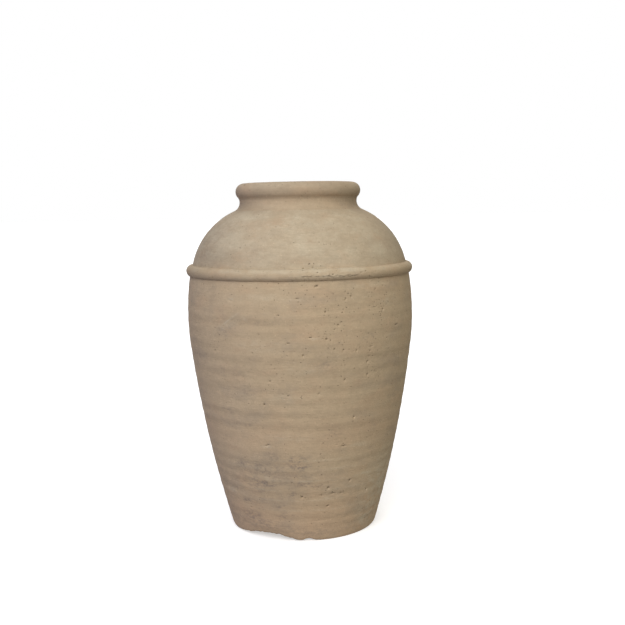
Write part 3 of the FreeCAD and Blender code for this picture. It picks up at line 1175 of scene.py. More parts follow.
# -------------------------------------------------------------------------------- finishes
class ShadeGroups:
    """The effects that several finishes share, each a node group built once."""

    def __init__(self) -> None:
        """Builds the groups."""
        self.mottle = self.build_mottle()
        self.bands = self.build_bands()
        self.strokes = self.build_strokes()
        self.grain = self.build_grain()
        self.holes = self.build_holes()
        self.chalk = self.build_chalk()
        self.stain = self.build_stain()

    @staticmethod
    def tonal(name: str) -> Tree:
        """Starts an effect that makes the clay lighter and darker, and rough."""
        inputs = {"Vector": VECTOR, "Amount": 0.1}
        return new_tree(name, "ShaderNodeTree", inputs, {"Tone": FLOAT, "Height": FLOAT})

    @staticmethod
    def tinting(name: str, inputs: dict[str, str | float]) -> Tree:
        """Starts an effect that changes the clay's colour."""
        return new_tree(name, "ShaderNodeTree", {"Vector": VECTOR, **inputs}, {"Color": COLOUR})

    def build_mottle(self) -> bpy.types.NodeTree:
        """Wires clouds of three tints of clay, as it fires unevenly.

        Returns:
            The effect.
        """
        squat, elsewhere = 1.9, (3.7, 1.9, 5.1)
        warm_clouds = Cloud(21.0, detail=5.0, rough=0.62, thin=0.46, thick=0.70)
        grey_clouds = Cloud(15.0, detail=6.0, rough=0.66, thin=0.47, thick=0.70)
        w, given, result = self.tinting(
            "fired mottle",
            {"Clay": COLOUR, "Warm": COLOUR, "Grey": COLOUR, "Warm Share": 0.5, "Grey Share": 0.5},
        )
        place = given["Vector"].flattened(squat)
        warm = w.patches(place, warm_clouds) * given["Warm Share"]
        grey = w.patches(place.shifted(elsewhere), grey_clouds) * given["Grey Share"]
        tint = w.mix(warm, given["Clay"], given["Warm"])
        w.feed(w.mix(grey, tint, given["Grey"]), result["Color"])
        return w.tree

    def build_bands(self) -> bpy.types.NodeTree:
        """Wires the light and dark bands that the drag of the hand leaves round the wall.

        Returns:
            The effect.
        """
        broad_bands = Cloud(11.0, detail=4.0, rough=0.6, flat=6.0)
        fine_bands = Cloud(30.0, detail=3.0, rough=0.65, flat=16.0)
        broad_share, fine_share = 0.6, 0.4
        w, given, result = self.tonal("dragged bands")
        fine = w.noise(given["Vector"], fine_bands)
        both = w.noise(given["Vector"], broad_bands) * broad_share + fine * fine_share
        w.feed((both - 0.5) * given["Amount"] * 2.0 + 1.0, result["Tone"])
        w.feed(fine, result["Height"])
        return w.tree

    def build_strokes(self) -> bpy.types.NodeTree:
        """Wires faint slanting strokes of the cloth that wiped the skin.

        Returns:
            The effect.
        """
        slant, stretch = (0.0, 33.0, 8.0), (1.0, 2.5, 7.0)
        threads = Cloud(62.0, detail=4.0, rough=0.66)
        wiped = Cloud(9.0, thin=0.40, thick=0.62, least=0.15)
        w, given, result = self.tonal("wiped strokes")
        strokes = w.swing(w.turned(given["Vector"], slant, stretch), threads)
        swing = strokes * w.patches(given["Vector"], wiped)
        w.feed(swing * given["Amount"] * 2.0 + 1.0, result["Tone"])
        w.feed(swing, result["Height"])
        return w.tree

    def build_grain(self) -> bpy.types.NodeTree:
        """Wires sandy grain with dark and pale specks of grog.

        Returns:
            The effect.
        """
        fine_sand = Cloud(430.0, detail=4.0, rough=0.72)
        coarse_sand = Cloud(130.0, detail=3.0, rough=0.6)
        specks, speck_core, speck_edge = 300.0, 0.12, 0.36
        pale_below, dark_above = 0.10, 0.88
        sand_swing, cloud_swing, pale_swing, dark_swing = 2.0, 1.5, 0.9, -1.2
        cloud_height = 0.9
        w, given, result = self.tonal("sandy grain")
        sand = w.noise(given["Vector"], fine_sand)
        cloud = w.noise(given["Vector"], coarse_sand)
        distance, lots = w.cells(given["Vector"], specks)
        near = w.remap(distance, speck_core, speck_edge, 1.0, 0.0)
        pale = near * (lots[0] < pale_below)
        dark = near * (lots[0] > dark_above)
        swing = (sand - 0.5) * sand_swing + (cloud - 0.5) * cloud_swing
        swing = swing + pale * pale_swing + dark * dark_swing
        w.feed(swing * given["Amount"] + 1.0, result["Tone"])
        w.feed(sand + cloud * cloud_height, result["Height"])
        return w.tree

    def build_holes(self) -> bpy.types.NodeTree:
        """Wires the pits, crisp, and pinholes too small for the skin itself.

        Returns:
            The effect: how strongly dirt and painted shade darken the holes, and how deep they are.
        """
        waver, waver_size = Cloud(700.0), 0.16
        core_starts, core_ends = 0.09, 0.23
        bowl_starts, bowl_ends = -0.08, 0.22
        clusters = Cloud(23.0, thin=0.36, thick=0.64, least=0.1, most=1.5)
        pin_cells, pin_flat, pin_core, pin_edge, pin_share = 250.0, 1.3, 0.10, 0.26, 0.5
        pit_dirt_and_shade, pin_dirt_and_shade, pin_depth = 0.48, 0.75, 0.6
        inputs = {"Vector": VECTOR, "Near": 0.0, "Pitted": 0.0, "Pit Size": 0.0013, "Pinholes": 0.1}
        outputs = {"Mask": FLOAT, "Height": FLOAT}
        w, given, result = new_tree("holes", "ShaderNodeTree", inputs, outputs)
        place, pitted = given["Vector"], given["Pitted"]
        marked = given["Near"] + w.swing(place, waver) * waver_size
        edge = 1.0 - 1.0 / MARK_REACH
        core = w.remap(marked, edge + core_starts, edge + core_ends)
        bowl = w.remap(marked, edge + bowl_starts, edge + bowl_ends)
        pits = Pitting.scatter(w, place, pitted, given["Pit Size"])
        distance, lots = w.cells(place.flattened(pin_flat), pin_cells)
        share = given["Pinholes"] + pitted * pin_share
        chosen = lots[2] < share * w.patches(place, clusters)
        pin = w.remap(distance, pin_core, pin_edge, 1.0, 0.0) * chosen
        # The mask darkens the holes with dirt and painted shade.
        w.feed(core.most(pits * pit_dirt_and_shade).most(pin * pin_dirt_and_shade), result["Mask"])
        w.feed(bowl.most(pits).most(pin * pin_depth) * -1.0, result["Height"])
        return w.tree

    def build_chalk(self) -> bpy.types.NodeTree:
        """Wires lime, thickest where the skin faces up, and pale patches that are partly lime, partly
        painted light.

        Returns:
            The effect.
        """
        elsewhere, squat = (8.3, 2.2, 0.7), 1.7
        lime_clouds = Cloud(17.0, detail=7.0, rough=0.66, thin=0.38, thick=0.66)
        pale_patch_clouds = Cloud(60.0, detail=5.0, rough=0.7, thin=0.34, thick=0.62)
        facing_down, facing_up, least_lime, pale_patch_cover = -0.05, 0.65, 0.15, 0.7
        w, given, result = self.tinting(
            "lime bloom", {"Color": COLOUR, "Lime": COLOUR, "Amount": 0.3, "Bloom": 0.0}
        )
        place = given["Vector"].shifted(elsewhere).flattened(squat)
        level = w.flow("ShaderNodeNewGeometry", {}, "Normal").parts()[2]
        up = w.remap(level, facing_down, facing_up, least_lime)
        settled = up * w.patches(place, lime_clouds) * given["Amount"]
        # Pale patches: partly lime, partly painted highlights and painted light.
        lime_and_light_patches = given["Bloom"] * w.patches(place, pale_patch_clouds)
        share = w.math("MAXIMUM", settled, lime_and_light_patches * pale_patch_cover, clamp=True)
        w.feed(w.mix(share, given["Color"], given["Lime"]), result["Color"])
        return w.tree

    def build_stain(self) -> bpy.types.NodeTree:
        """Wires smoke and damp in patches, and dirt and painted shade that darken the hollows of the
        rings and the holes.

        Returns:
            The effect.
        """
        slant, stretch = (0.0, -38.0, 0.0), (1.0, 1.0, 1.9)
        broken = Cloud(88.0, detail=6.0, rough=0.74, thin=0.40, thick=0.60)
        specks = Cloud(300.0, detail=3.0, rough=0.7, thin=0.36, thick=0.60, least=0.35)
        streaks = Cloud(36.0, detail=4.0, rough=0.65, flat=5.0, thin=0.30, thick=0.64, least=0.25)
        soot_cover = 0.95
        w, given, result = self.tinting(
            "stain and dirt",
            {"Color": COLOUR, "Soot Color": COLOUR, "Dirt": COLOUR, "Soot": 0.0, "Rings": 0.0,
             "Ring Dirt": 0.1, "Holes": 0.0, "Hole Dirt": 0.8},
        )
        place = given["Vector"]
        flaked = w.patches(w.turned(place, slant, stretch), broken) * w.patches(place, specks)
        soot = given["Soot"] * flaked * soot_cover
        sooted = w.mix(soot, given["Color"], given["Soot Color"])
        # Dirt and painted shade: the hollows of the fingers' rings are darkened.
        hollow_dirt_and_shade = given["Rings"] * -1.0 * w.patches(place, streaks) * given["Ring Dirt"]
        browned = w.mix(hollow_dirt_and_shade, sooted, given["Dirt"])
        # Dirt and painted shade: the holes are darkened.
        w.feed(w.mix(given["Holes"] * given["Hole Dirt"], browned, given["Dirt"]), result["Color"])
        return w.tree


@dataclass(frozen=True)
class ClayFinish:
    """A fired, unglazed clay face; colours are linear, and heights are millimetres."""

    name: str
    clay: Colour = (0.447, 0.342, 0.222)
    warm: Colour = (0.475, 0.325, 0.205)
    grey: Colour = (0.35, 0.275, 0.195)
    # The pale colour of lime, also used for painted light.
    lime: Colour = (0.535, 0.462, 0.335)
    soot: Colour = (0.175, 0.145, 0.125)
    # The dark colour of dirt, also used for painted shade in the hollows and holes.
    dirt: Colour = (0.085, 0.06, 0.038)
    warm_share: float = 0.35
    grey_share: float = 0.6
    lime_amount: float = 0.35
    band_amount: float = 0.165
    stroke_amount: float = 0.15
    grain_amount: float = 0.145
    pinholes: float = 0.05
    pit_size: float = 1.15 * MM
    # The next two darken the rings' hollows and the holes: dirt and painted shade.
    ring_dirt: float = 0.145
    hole_dirt: float = 0.72
    fine_grain: float = 0.4
    coarse_grain: float = 1.4
    smoothest: float = 0.87
    roughest: float = 0.98
    shine: float = 0.22
    relief: float = 0.9
    grain_height: float = 0.36
    band_height: float = 0.252
    stroke_height: float = 0.324
    hole_depth: float = 1.1

    def material(self, groups: ShadeGroups) -> bpy.types.Material:
        """Builds the material.

        Args:
            groups: The shared effects.

        Returns:
            The material, which reads each piece's own resting place.
        """
        material, w, shader = new_material(self.name)
        place = w.kept("rest", "Vector")
        bands = w.effect(groups.bands, Vector=place, Amount=self.band_amount)
        strokes = w.effect(groups.strokes, Vector=place, Amount=self.stroke_amount)
        grain = w.effect(groups.grain, Vector=place, Amount=self.grain_amount)
        holes = w.effect(
            groups.holes, Vector=place, Near=w.kept("near"), Pitted=w.kept("pitted"),
            Pit_Size=self.pit_size, Pinholes=self.pinholes,
        )
        mottle = w.effect(
            groups.mottle, Vector=place, Clay=w.mix(w.kept("warmth"), self.clay, self.warm),
            Warm=self.warm, Grey=self.grey, Warm_Share=self.warm_share, Grey_Share=self.grey_share,
        )
        chalk = w.effect(
            groups.chalk, Vector=place, Color=mottle["Color"], Lime=self.lime,
            Amount=self.lime_amount, Bloom=w.kept("bloom"),
        )
        # The last factor is painted shade: it darkens the tone in patches, most at the sides of the
        # shoulder and neck.
        tone = bands["Tone"] * grain["Tone"] * strokes["Tone"] * (1.0 - w.kept("dull"))
        # The stain darkens the rings' hollows and the holes: partly dirt, partly painted shade.
        stain = w.effect(
            groups.stain, Vector=place, Color=chalk["Color"].scaled(tone), Soot_Color=self.soot,
            Dirt=self.dirt, Soot=w.kept("soot"), Rings=w.kept("rings"), Ring_Dirt=self.ring_dirt,
            Holes=holes["Mask"], Hole_Dirt=self.hole_dirt,
        )
        height = (
            grain["Height"]
            + bands["Height"] * (self.band_height / self.grain_height)
            + strokes["Height"] * (self.stroke_height / self.grain_height)
            + holes["Height"] * (self.hole_depth / self.grain_height)
        )
        rough = w.remap(
            grain["Height"], self.fine_grain, self.coarse_grain, self.smoothest, self.roughest
        )
        w.feed(stain["Color"], shader["Base Color"])
        w.feed(rough, shader["Roughness"])
        w.feed(self.shine, shader["Specular IOR Level"])
        w.feed(w.bump(height, self.relief, self.grain_height * MM), shader["Normal"])
        return material


@dataclass(frozen=True)
class SlipFinish:
    """Fine slip that has set in a joint, which no piece's own values reach."""

    name: str
    pale: Colour = (0.40, 0.30, 0.20)
    dark: Colour = (0.26, 0.19, 0.13)
    roughness: float = 0.9
    relief: float = 0.6
    grain_height: float = 0.1 * MM
    clouds: Cloud = Cloud(60.0, detail=4.0, rough=0.6)
    grain: Cloud = Cloud(700.0, detail=3.0, rough=0.6)

    def material(self) -> bpy.types.Material:
        """Builds the material on Object coordinates.

        Returns:
            The material.
        """
        material, w, shader = new_material(self.name)
        place = w.flow("ShaderNodeTexCoord", {}, "Object")
        w.feed(w.mix(w.noise(place, self.clouds), self.dark, self.pale), shader["Base Color"])
        w.feed(self.roughness, shader["Roughness"])
        bump = w.bump(w.noise(place, self.grain), self.relief, self.grain_height)
        w.feed(bump, shader["Normal"])
        return material


# ---------------------------------------------------------------------------------- pieces
@dataclass(frozen=True)
class Patch:
    """A soft-edged patch of skin that differs from the rest.

    turn and across are degrees; level and tall are millimetres. climb is how many
    millimetres its middle rises with each degree.
    """

    turn: float
    level: float
    across: float
    tall: float
    strength: float
    climb: float = 0.0

    def strength_at(self, turns: np.ndarray, levels: np.ndarray) -> np.ndarray:
        """Gives the patch's strength at points of the skin.

        Args:
            turns: The points' turns.
            levels: Their levels.

        Returns:
            The strength, which fades away from the patch's middle.
        """
        swing = (turns - self.turn + 180.0) % 360.0 - 180.0
        drop = levels / MM - self.level - self.climb * swing
        return self.strength * np.exp(-((swing / self.across) ** 2) - (drop / self.tall) ** 2)


# Where burst grog has left the skin full of small holes.
PITTED = (
    Patch(32, 335, 24, 26, 0.55), Patch(22, 285, 20, 26, 0.46), Patch(34, 240, 18, 14, 0.32),
    Patch(22, 160, 10, 16, 0.22), Patch(24, 75, 26, 14, 0.26), Patch(14, 372, 18, 8, 0.5),
    Patch(96, 300, 30, 40, 0.22), Patch(170, 250, 34, 60, 0.20), Patch(-120, 330, 30, 30, 0.24),
    Patch(-90, 120, 26, 40, 0.14), Patch(130, 110, 30, 40, 0.16),
)
# Smoke and damp have left these greyish brown.
SOOTY = (
    Patch(-28, 221, 4, 7, 0.5), Patch(-43, 245, 4, 6, 0.4), Patch(-43, 188, 4, 7, 0.4),
    Patch(-17, 131, 4, 5, 0.6), Patch(-4, 125, 6, 5, 0.9), Patch(-2, 114, 6, 5, 0.8),
    Patch(-24, 112, 9, 9, 0.2), Patch(-24, 102, 26, 22, 0.34), Patch(-38, 113, 5, 5, 0.5),
    Patch(-1, 101, 5, 4, 0.5), Patch(-32, 88, 9, 6, 0.55), Patch(-22, 86, 7, 4, 0.5),
    Patch(-2, 88, 6, 4, 1.0), Patch(7, 86, 5, 3, 0.7), Patch(-7.5, 71, 2.6, 6, 1.0),
    Patch(-29, 76, 6, 4, 0.6), Patch(-40, 57, 7, 4, 0.7), Patch(-16, 54, 5, 4, 0.6),
    Patch(-13, 39, 6, 5, 0.6), Patch(-39, 36, 9, 7, 0.7), Patch(17, 160, 6, 11, 0.35),
    Patch(11, 257, 5, 7, 0.5), Patch(34, 292, 3, 5, 0.5), Patch(57, 200, 5, 5, 0.5),
    Patch(-28, 172, 9, 3, 0.5), Patch(-20, 314, 14, 3.4, 0.45), Patch(-40, 300, 8, 9, 0.3, 1.0),
    Patch(-60, 262, 6, 8, 0.5), Patch(-32, 24, 24, 9, 0.5), Patch(-70, 60, 16, 60, 0.35),
    Patch(0, 12, 40, 9, 0.4), Patch(150, 80, 24, 30, 0.5), Patch(-150, 60, 20, 24, 0.6),
    Patch(110, 200, 14, 12, 0.4), Patch(190, 240, 16, 14, 0.4), Patch(-115, 250, 14, 12, 0.4),
    Patch(100, 420, 20, 14, 0.3), Patch(-50, 70, 4, 5, 0.5), Patch(-26, 62, 4, 4, 0.5),
)
# Lime has settled on these, but for those noted below as painted highlights and painted light.
PALE_AND_PAINTED_LIGHT = (
    # Painted highlight: the first three patches lie along the raised streak at turn -35.
    Patch(-38, 308, 8, 5, 0.4, 1.15), Patch(-35, 318, 5, 1.5, 0.9, 1.75),
    Patch(-27, 319.5, 2.2, 1.6, 0.5, -2.0), Patch(-20, 284, 12, 9, 0.45),
    Patch(-17, 347, 16, 8, 0.45), Patch(3, 250, 10, 7, 0.5), Patch(-8, 212, 7, 6, 0.5),
    Patch(-6, 157, 14, 6, 0.4), Patch(33, 139, 8, 4, 0.5), Patch(40, 94.5, 6, 2.2, 0.8),
    Patch(16, 66, 7, 2.4, 0.8), Patch(47, 337, 9, 7, 0.5), Patch(37, 360, 14, 5, 0.5),
    Patch(-56, 67, 8, 5, 0.6), Patch(-20, 143, 3.5, 1.6, 0.8), Patch(-24, 96, 7, 6, 0.4),
    Patch(-12, 420, 20, 16, 0.5), Patch(20, 405, 16, 9, 0.4), Patch(-40, 440, 24, 10, 0.3),
    Patch(4.4, 293, 4, 1.5, 0.8), Patch(-34, 344.6, 4, 1.2, 0.8), Patch(-1.4, 344.5, 3, 1.1, 0.7),
    Patch(28, 345, 6, 2.2, 0.6), Patch(-24, 375, 30, 6, 0.4), Patch(12, 375, 16, 4, 0.5),
    Patch(140, 350, 20, 12, 0.5), Patch(-160, 150, 18, 14, 0.5), Patch(180, 400, 30, 20, 0.4),
    # Painted light: the last two patches on this line brighten the lower right, as light from the
    # floor would.
    Patch(95, 150, 10, 10, 0.5), Patch(60, 60, 18, 60, 1.0), Patch(54, 24, 12, 16, 0.5),
    # Painted highlights: these thin lines lie along the crests of the finger ridges low on the wall.
    Patch(10, 123, 26, 1.3, 0.6), Patch(-34, 110, 16, 1.2, 0.6), Patch(22, 109.5, 14, 1.2, 0.5),
    Patch(0, 93, 24, 1.2, 0.6), Patch(30, 78.5, 22, 1.3, 0.6), Patch(-24, 78, 14, 1.2, 0.5),
    Patch(-6, 63, 26, 1.2, 0.5), Patch(8, 48, 30, 1.3, 0.5),
)
# Painted shade: these are darkened evenly, most at the sides of the shoulder and the neck, where the
# light falls off.
PAINTED_SHADE = (
    Patch(-84, 425, 40, 44, 0.24), Patch(-64, 466, 30, 8, 0.14), Patch(66, 468, 30, 8, 0.08),
    Patch(88, 425, 30, 42, 0.20), Patch(-76, 377, 40, 9, 0.13), Patch(84, 377, 26, 9, 0.12),
    Patch(-46, 400, 24, 14, 0.10), Patch(-14, 74, 26, 56, 0.07), Patch(-64, 300, 20, 70, 0.05),
)
# Nearer the fire these came out warmer.
WARM = (
    Patch(0, 0, 900, 68, 0.7), Patch(0, 155, 900, 26, 0.25),
)


class Potter:
    """Turns, marks, throws and hands over pieces, the same way for each sub-assembly.

    BARE_SHARE of the skin's cells are pitted outside the pitted patches, and MOST_PITTED
    at most inside them, where their strength is raised PITTED_GAIN times.
    """

    BARE_SHARE = 0.03
    PITTED_GAIN = 1.35
    MOST_PITTED = 0.8
    # Soot and warmth are the clay's own; the pale patches are partly painted light and the shade
    # patches painted shade.
    STAINS = {"soot": SOOTY, "bloom": PALE_AND_PAINTED_LIGHT, "warmth": WARM, "dull": PAINTED_SHADE}

    def __init__(self, form: Form, clay: ThrownClay) -> None:
        """Takes the jar's form and the tree that throws."""
        self.form = form
        self.clay = clay

    def make(
        self,
        node: str,
        section: Section,
        throw: Throw,
        finish: bpy.types.Material,
        slot: str,
        marks: Sequence[Mark] = (),
        reshape: Callable[[bpy.types.Object], None] | None = None,
    ) -> bpy.types.Object:
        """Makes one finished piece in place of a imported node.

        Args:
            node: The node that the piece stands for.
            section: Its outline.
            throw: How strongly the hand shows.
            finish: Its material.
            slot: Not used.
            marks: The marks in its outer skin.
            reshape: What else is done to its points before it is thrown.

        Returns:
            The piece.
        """
        piece = section.turned(node + "_clay")
        self.mark(piece, marks)
        if reshape:
            reshape(piece)
        self.clay.throw(piece, throw, finish)
        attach(piece, BODY)
        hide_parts(node)
        LOG.info("%s: %d faces", piece.name, len(piece.data.polygons))
        return piece

    def mark(self, piece: bpy.types.Object, marks: Sequence[Mark]) -> None:
        """Keeps for each point of the outer skin how it is marked, pitted, stained and painted
        lighter or darker.

        Args:
            piece: The turned piece.
            marks: The marks in its outer skin.
        """
        turns, radii, levels = polar(read_points(piece, "rest"))
        depth, near = np.zeros(len(turns)), np.zeros(len(turns))
        for mark in marks:
            reach = mark.reach_at(turns, radii, levels)
            felt = mark.deep * MM * np.exp(-(reach**MARK_EDGE))
            depth = np.where(np.abs(felt) > np.abs(depth), felt, depth)
            if mark.deep > 0:
                near = np.maximum(near, np.clip(1.0 - reach / MARK_REACH, 0.0, 1.0))
        pitted = sum((patch.strength_at(turns, levels) for patch in PITTED), self.BARE_SHARE)
        kept = {
            "mark": depth,
            "near": near,
            "pitted": np.clip(self.PITTED_GAIN * pitted, 0.0, self.MOST_PITTED),
        }
        for name, patches in self.STAINS.items():
            kept[name] = np.clip(sum(patch.strength_at(turns, levels) for patch in patches), 0.0, 1.0)
        outside = read_points(piece, Side.OUTSIDE.value)
        for name, values in kept.items():
            Section.store(piece.data, name, values * outside)


@dataclass
class Wall:
    """The three rings of wall between the floor and the cordon."""

    potter: Potter
    finish: bpy.types.Material
    throw: Throw = Throw()
    outside_step: float = 1.45 * MM
    inside_step: float = 3.6 * MM
    mark_margin: float = 6.0 * MM

    def build(self) -> list[bpy.types.Object]:
        """Makes the rings, from the floor up.

        Returns:
            The pieces.
        """
        form = self.potter.form
        rings = (
            ("lower_ring", form.floor_top, form.lower_top),
            ("belly_ring", form.lower_top, form.belly_top),
            ("upper_ring", form.belly_top, form.cordon_seam),
        )
        return [self.ring(*ring) for ring in rings]

    def ring(self, node: str, low: float, high: float) -> bpy.types.Object:
        """Makes one ring.

        Args:
            node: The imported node.
            low: Level of its foot.
            high: Level of its head.

        Returns:
            The piece.
        """
        form = self.potter.form
        half = form.wall / 2
        outer = [(form.wall_at(z), z) for z in spread(low, high, self.outside_step)]
        inner = [(form.wall_at(z, form.wall), z) for z in spread(high, low, self.inside_step)]
        section = Section()
        section.groove(form, form.wall_at(low) - half, low)
        section.stretch(outer, Side.OUTSIDE, Divisions.FINE)
        section.key(form, form.wall_at(high) - half, high)
        section.stretch(inner, Side.INSIDE)
        reached = (low - self.mark_margin, high + self.mark_margin)
        marks = [mark for mark in (*PITS, *GOUGES) if reached[0] < mark.level * MM < reached[1]]
        return self.potter.make(node, section, self.throw, self.finish, "clay", marks)


@dataclass
class Base:
    """The slab that the jar stands on, with its broken foot, and the coil inside it.

    The break is fully rough where it is higher than break_full. The underside takes up
    its roughness over break_reach, and comes down again behind it by break_slope.
    """

    potter: Potter
    finish: bpy.types.Material
    throw: Throw = Throw(drag=0.08 * MM)
    foot_round: float = 2.0 * MM
    step: float = 1.3 * MM
    disc_step: float = 6.0 * MM
    inside_step: float = 3.0 * MM
    break_reach: float = 17.0 * MM
    break_rough: float = 0.2 * MM
    break_full: float = 3.0 * MM
    break_slope: float = 0.10
    break_waves: tuple[int, ...] = (19, 31, 47, 71, 101)
    break_seed: int = 5
    coil_reach: float = 14.0 * MM
    coil_curve: float = 17.0 * MM
    coil_step: float = 2.0 * MM

    def build(self) -> list[bpy.types.Object]:
        """Makes the slab and the coil."""
        return [self.slab(), self.coil()]

    def slab(self) -> bpy.types.Object:
        """Makes the floor slab, and breaks its foot's edge.

        Returns:
            The piece.
        """
        form = self.potter.form
        foot = form.wall_at(0.0) - self.foot_round
        near = foot - self.break_reach
        inner = form.wall_at(form.floor_top, form.wall)
        rounding = arc((foot, self.foot_round), self.foot_round, -90, 0, self.step)
        edge = [(radius, max(level, 0.0)) for radius, level in rounding]
        climb = spread(self.foot_round, form.floor_top, self.step)[1:]
        outer = edge + [(form.wall_at(z), z) for z in climb]
        disc = [(r, 0.0) for r in spread(0.0, near, self.disc_step)]
        worn = [(r, 0.0) for r in spread(near + self.step, edge[0][0], self.step)[:-1]]
        middle = spread(inner - self.coil_reach, 0.0, self.inside_step)
        section = Section()
        section.stretch(disc, Side.UNDER)
        section.stretch(worn, Side.UNDER, Divisions.FINE)
        section.stretch(outer, Side.OUTSIDE, Divisions.FINE)
        section.key(form, form.wall_at(form.floor_top) - form.wall / 2, form.floor_top)
        section.stretch([(inner, form.floor_top)], Side.JOINT)
        section.stretch([(r, form.floor_top) for r in middle], Side.INSIDE)
        return self.potter.make(
            "floor_slab", section, self.throw, self.finish, "clay", reshape=self.break_foot
        )

    def break_foot(self, piece: bpy.types.Object) -> None:
        """Lifts the skin round the foot to where its edge has broken away.

        Args:
            piece: The turned slab.
        """
        form = self.potter.form
        places = read_points(piece, "rest")
        turns, radii, levels = polar(places)
        steady, lift = self.broken_at(turns)
        foot = form.wall_at(0.0) - self.foot_round
        near = np.clip((radii - (foot - self.break_reach)) / self.break_reach, 0.0, 1.0)
        worn = np.maximum(0.0, steady - self.break_slope * (foot - radii))
        worn = np.maximum(0.0, worn + (lift - steady) * near)
        skin = read_points(piece, Side.OUTSIDE.value) > 0
        under = (levels < SAME_PLACE) & ~skin
        left = np.clip(1.0 - levels / form.floor_top, 0.0, 1.0)
        places[:, 2] += np.where(skin, lift * left, np.where(under, worn, 0.0))
        piece.data.vertices.foreach_set("co", places.astype(np.float32).ravel())

    def broken_at(self, turns: np.ndarray) -> tuple[np.ndarray, np.ndarray]:
        """Works out how high the foot's edge has broken away.

        Args:
            turns: The turns of points of the foot.

        Returns:
            The height there without the break's roughness, and with it.
        """
        knots = np.array(FOOT_BREAKS)
        wrapped = np.where(turns < knots[0, 0], turns + 360.0, turns)
        steady = np.interp(wrapped, knots[:, 0], knots[:, 1]) * MM
        draw = random.Random(self.break_seed)
        rough = np.zeros(len(turns))
        for count in self.break_waves:
            phase, size = draw.uniform(0, math.tau), draw.uniform(0.3, 1.0)
            rough += size * np.sin(np.radians(turns) * count + phase)
        share = np.clip(steady / self.break_full, 0.0, 1.0)
        return steady, np.maximum(0.0, steady + rough * self.break_rough * share)

    def coil(self) -> bpy.types.Object:
        """Makes the thumbed coil in the corner inside.

        Returns:
            The piece.
        """
        form = self.potter.form
        low, high = form.floor_top, form.floor_top + self.coil_reach
        corner = form.wall_at(low, form.wall)
        start = Vector((form.wall_at(high, form.wall), high))
        end = Vector((corner - self.coil_reach, low))
        chord = end - start
        apart = math.sqrt(self.coil_curve**2 - chord.length_squared / 4)
        centre = (start + end) / 2 + Vector((chord.y, -chord.x)).normalized() * apart
        first, last = facing(centre, start), facing(centre, end)
        face = arc(centre, self.coil_curve, first, last, self.coil_step)
        section = Section()
        section.stretch([tuple(end), (corner, low), tuple(start)], Side.JOINT)
        section.stretch(face, Side.INSIDE)
        return self.potter.make("floor_coil", section, Throw(fingers=0.0), self.finish, "clay")


@dataclass
class Shoulder:
    """The dome, and the cordon that covers its seam.

    The skins of two pieces move the same way where they meet: the directions ending in
    _out are those at the seams, and at the edges of the cordon.
    """

    potter: Potter
    finish: bpy.types.Material
    cordon_finish: bpy.types.Material
    throw: Throw = Throw(fingers=0.3 * MM)
    cordon_throw: Throw = Throw(
        fingers=0.0, sway=0.9 * MM, lumps=0.9 * MM, grain=0.22 * MM, pit_size=1.9 * MM
    )
    outside_step: float = 1.45 * MM
    inside_step: float = 3.6 * MM
    bore_step: float = 2.0 * MM
    cordon_step: float = 0.55 * MM
    cordon_reach: float = 8.1 * MM
    cordon_bulge: float = 7.2 * MM
    cordon_back: float = 2.0 * MM
    sunk: float = 0.9 * MM
    neck_out: Point = (0.55, 0.84)
    cordon_foot_out: Point = (1.0, 0.0)
    cordon_head_out: Point = (1.0, 0.3)

    def build(self) -> list[bpy.types.Object]:
        """Makes the dome and the cordon."""
        return [self.dome(), self.cordon()]

    def dome(self) -> bpy.types.Object:
        """Makes the dome.

        Returns:
            The piece.
        """
        form = self.potter.form
        low, high, mouth = form.cordon_seam, form.neck_seam, form.mouth_radius
        *centre, curve = form.shoulder_arc()
        first = facing(centre, (form.shoulder_at(low), low))
        last = facing(centre, (form.neck_at(high), high))
        outer = arc(centre, curve, first, last, self.outside_step)
        hollow = curve - form.wall
        bore_foot = form.shoulder_level(mouth, form.wall)
        bore = [(mouth, z) for z in spread(high, bore_foot, self.bore_step)]
        top = math.degrees(math.asin((bore_foot - centre[1]) / hollow))
        foot = math.degrees(math.asin((low - centre[1]) / hollow))
        section = Section()
        section.groove(form, form.wall_at(low) - form.wall / 2, low)
        section.stretch(outer, Side.OUTSIDE, Divisions.FINE, {-1: self.neck_out})
        section.key(form, form.neck_waist - form.wall / 2, high)
        section.stretch(bore, Side.INSIDE)
        section.stretch(arc(centre, hollow, top, foot, self.inside_step), Side.INSIDE)
        return self.potter.make(
            "shoulder_dome", section, self.throw, self.finish, "clay", SHOULDER_MARKS
        )

    def cordon(self) -> bpy.types.Object:
        """Makes the cordon, its edges pressed a little into the clay that it lies on.

        Returns:
            The piece.
        """
        form = self.potter.form
        low, high = form.cordon_seam - self.cordon_reach, form.cordon_seam + self.cordon_reach
        foot = Vector((form.wall_at(low), low))
        head = Vector((form.shoulder_at(high), high))
        across = head - foot
        bulge = self.cordon_bulge
        curve = across.length**2 / (8 * bulge) + bulge / 2
        inwards = Vector((-across.y, across.x)).normalized()
        centre = (foot + head) / 2 + inwards * (curve - bulge)
        first, last = facing(centre, foot), facing(centre, head)
        face = arc(centre, curve, first, last, self.cordon_step)
        turned_out = {0: self.cordon_foot_out, -1: self.cordon_head_out}
        back = min(foot.x, head.x) - self.sunk - self.cordon_back
        section = Section()
        section.stretch([(back, high), (back, low), (foot.x - self.sunk, low)], Side.JOINT)
        section.stretch(face, Side.OUTSIDE, Divisions.FINE, turned_out)
        section.stretch([(head.x - self.sunk, high)], Side.JOINT)
        return self.potter.make(
            "cordon", section, self.cordon_throw, self.cordon_finish, "cordon_clay", CORDON_MARKS
        )


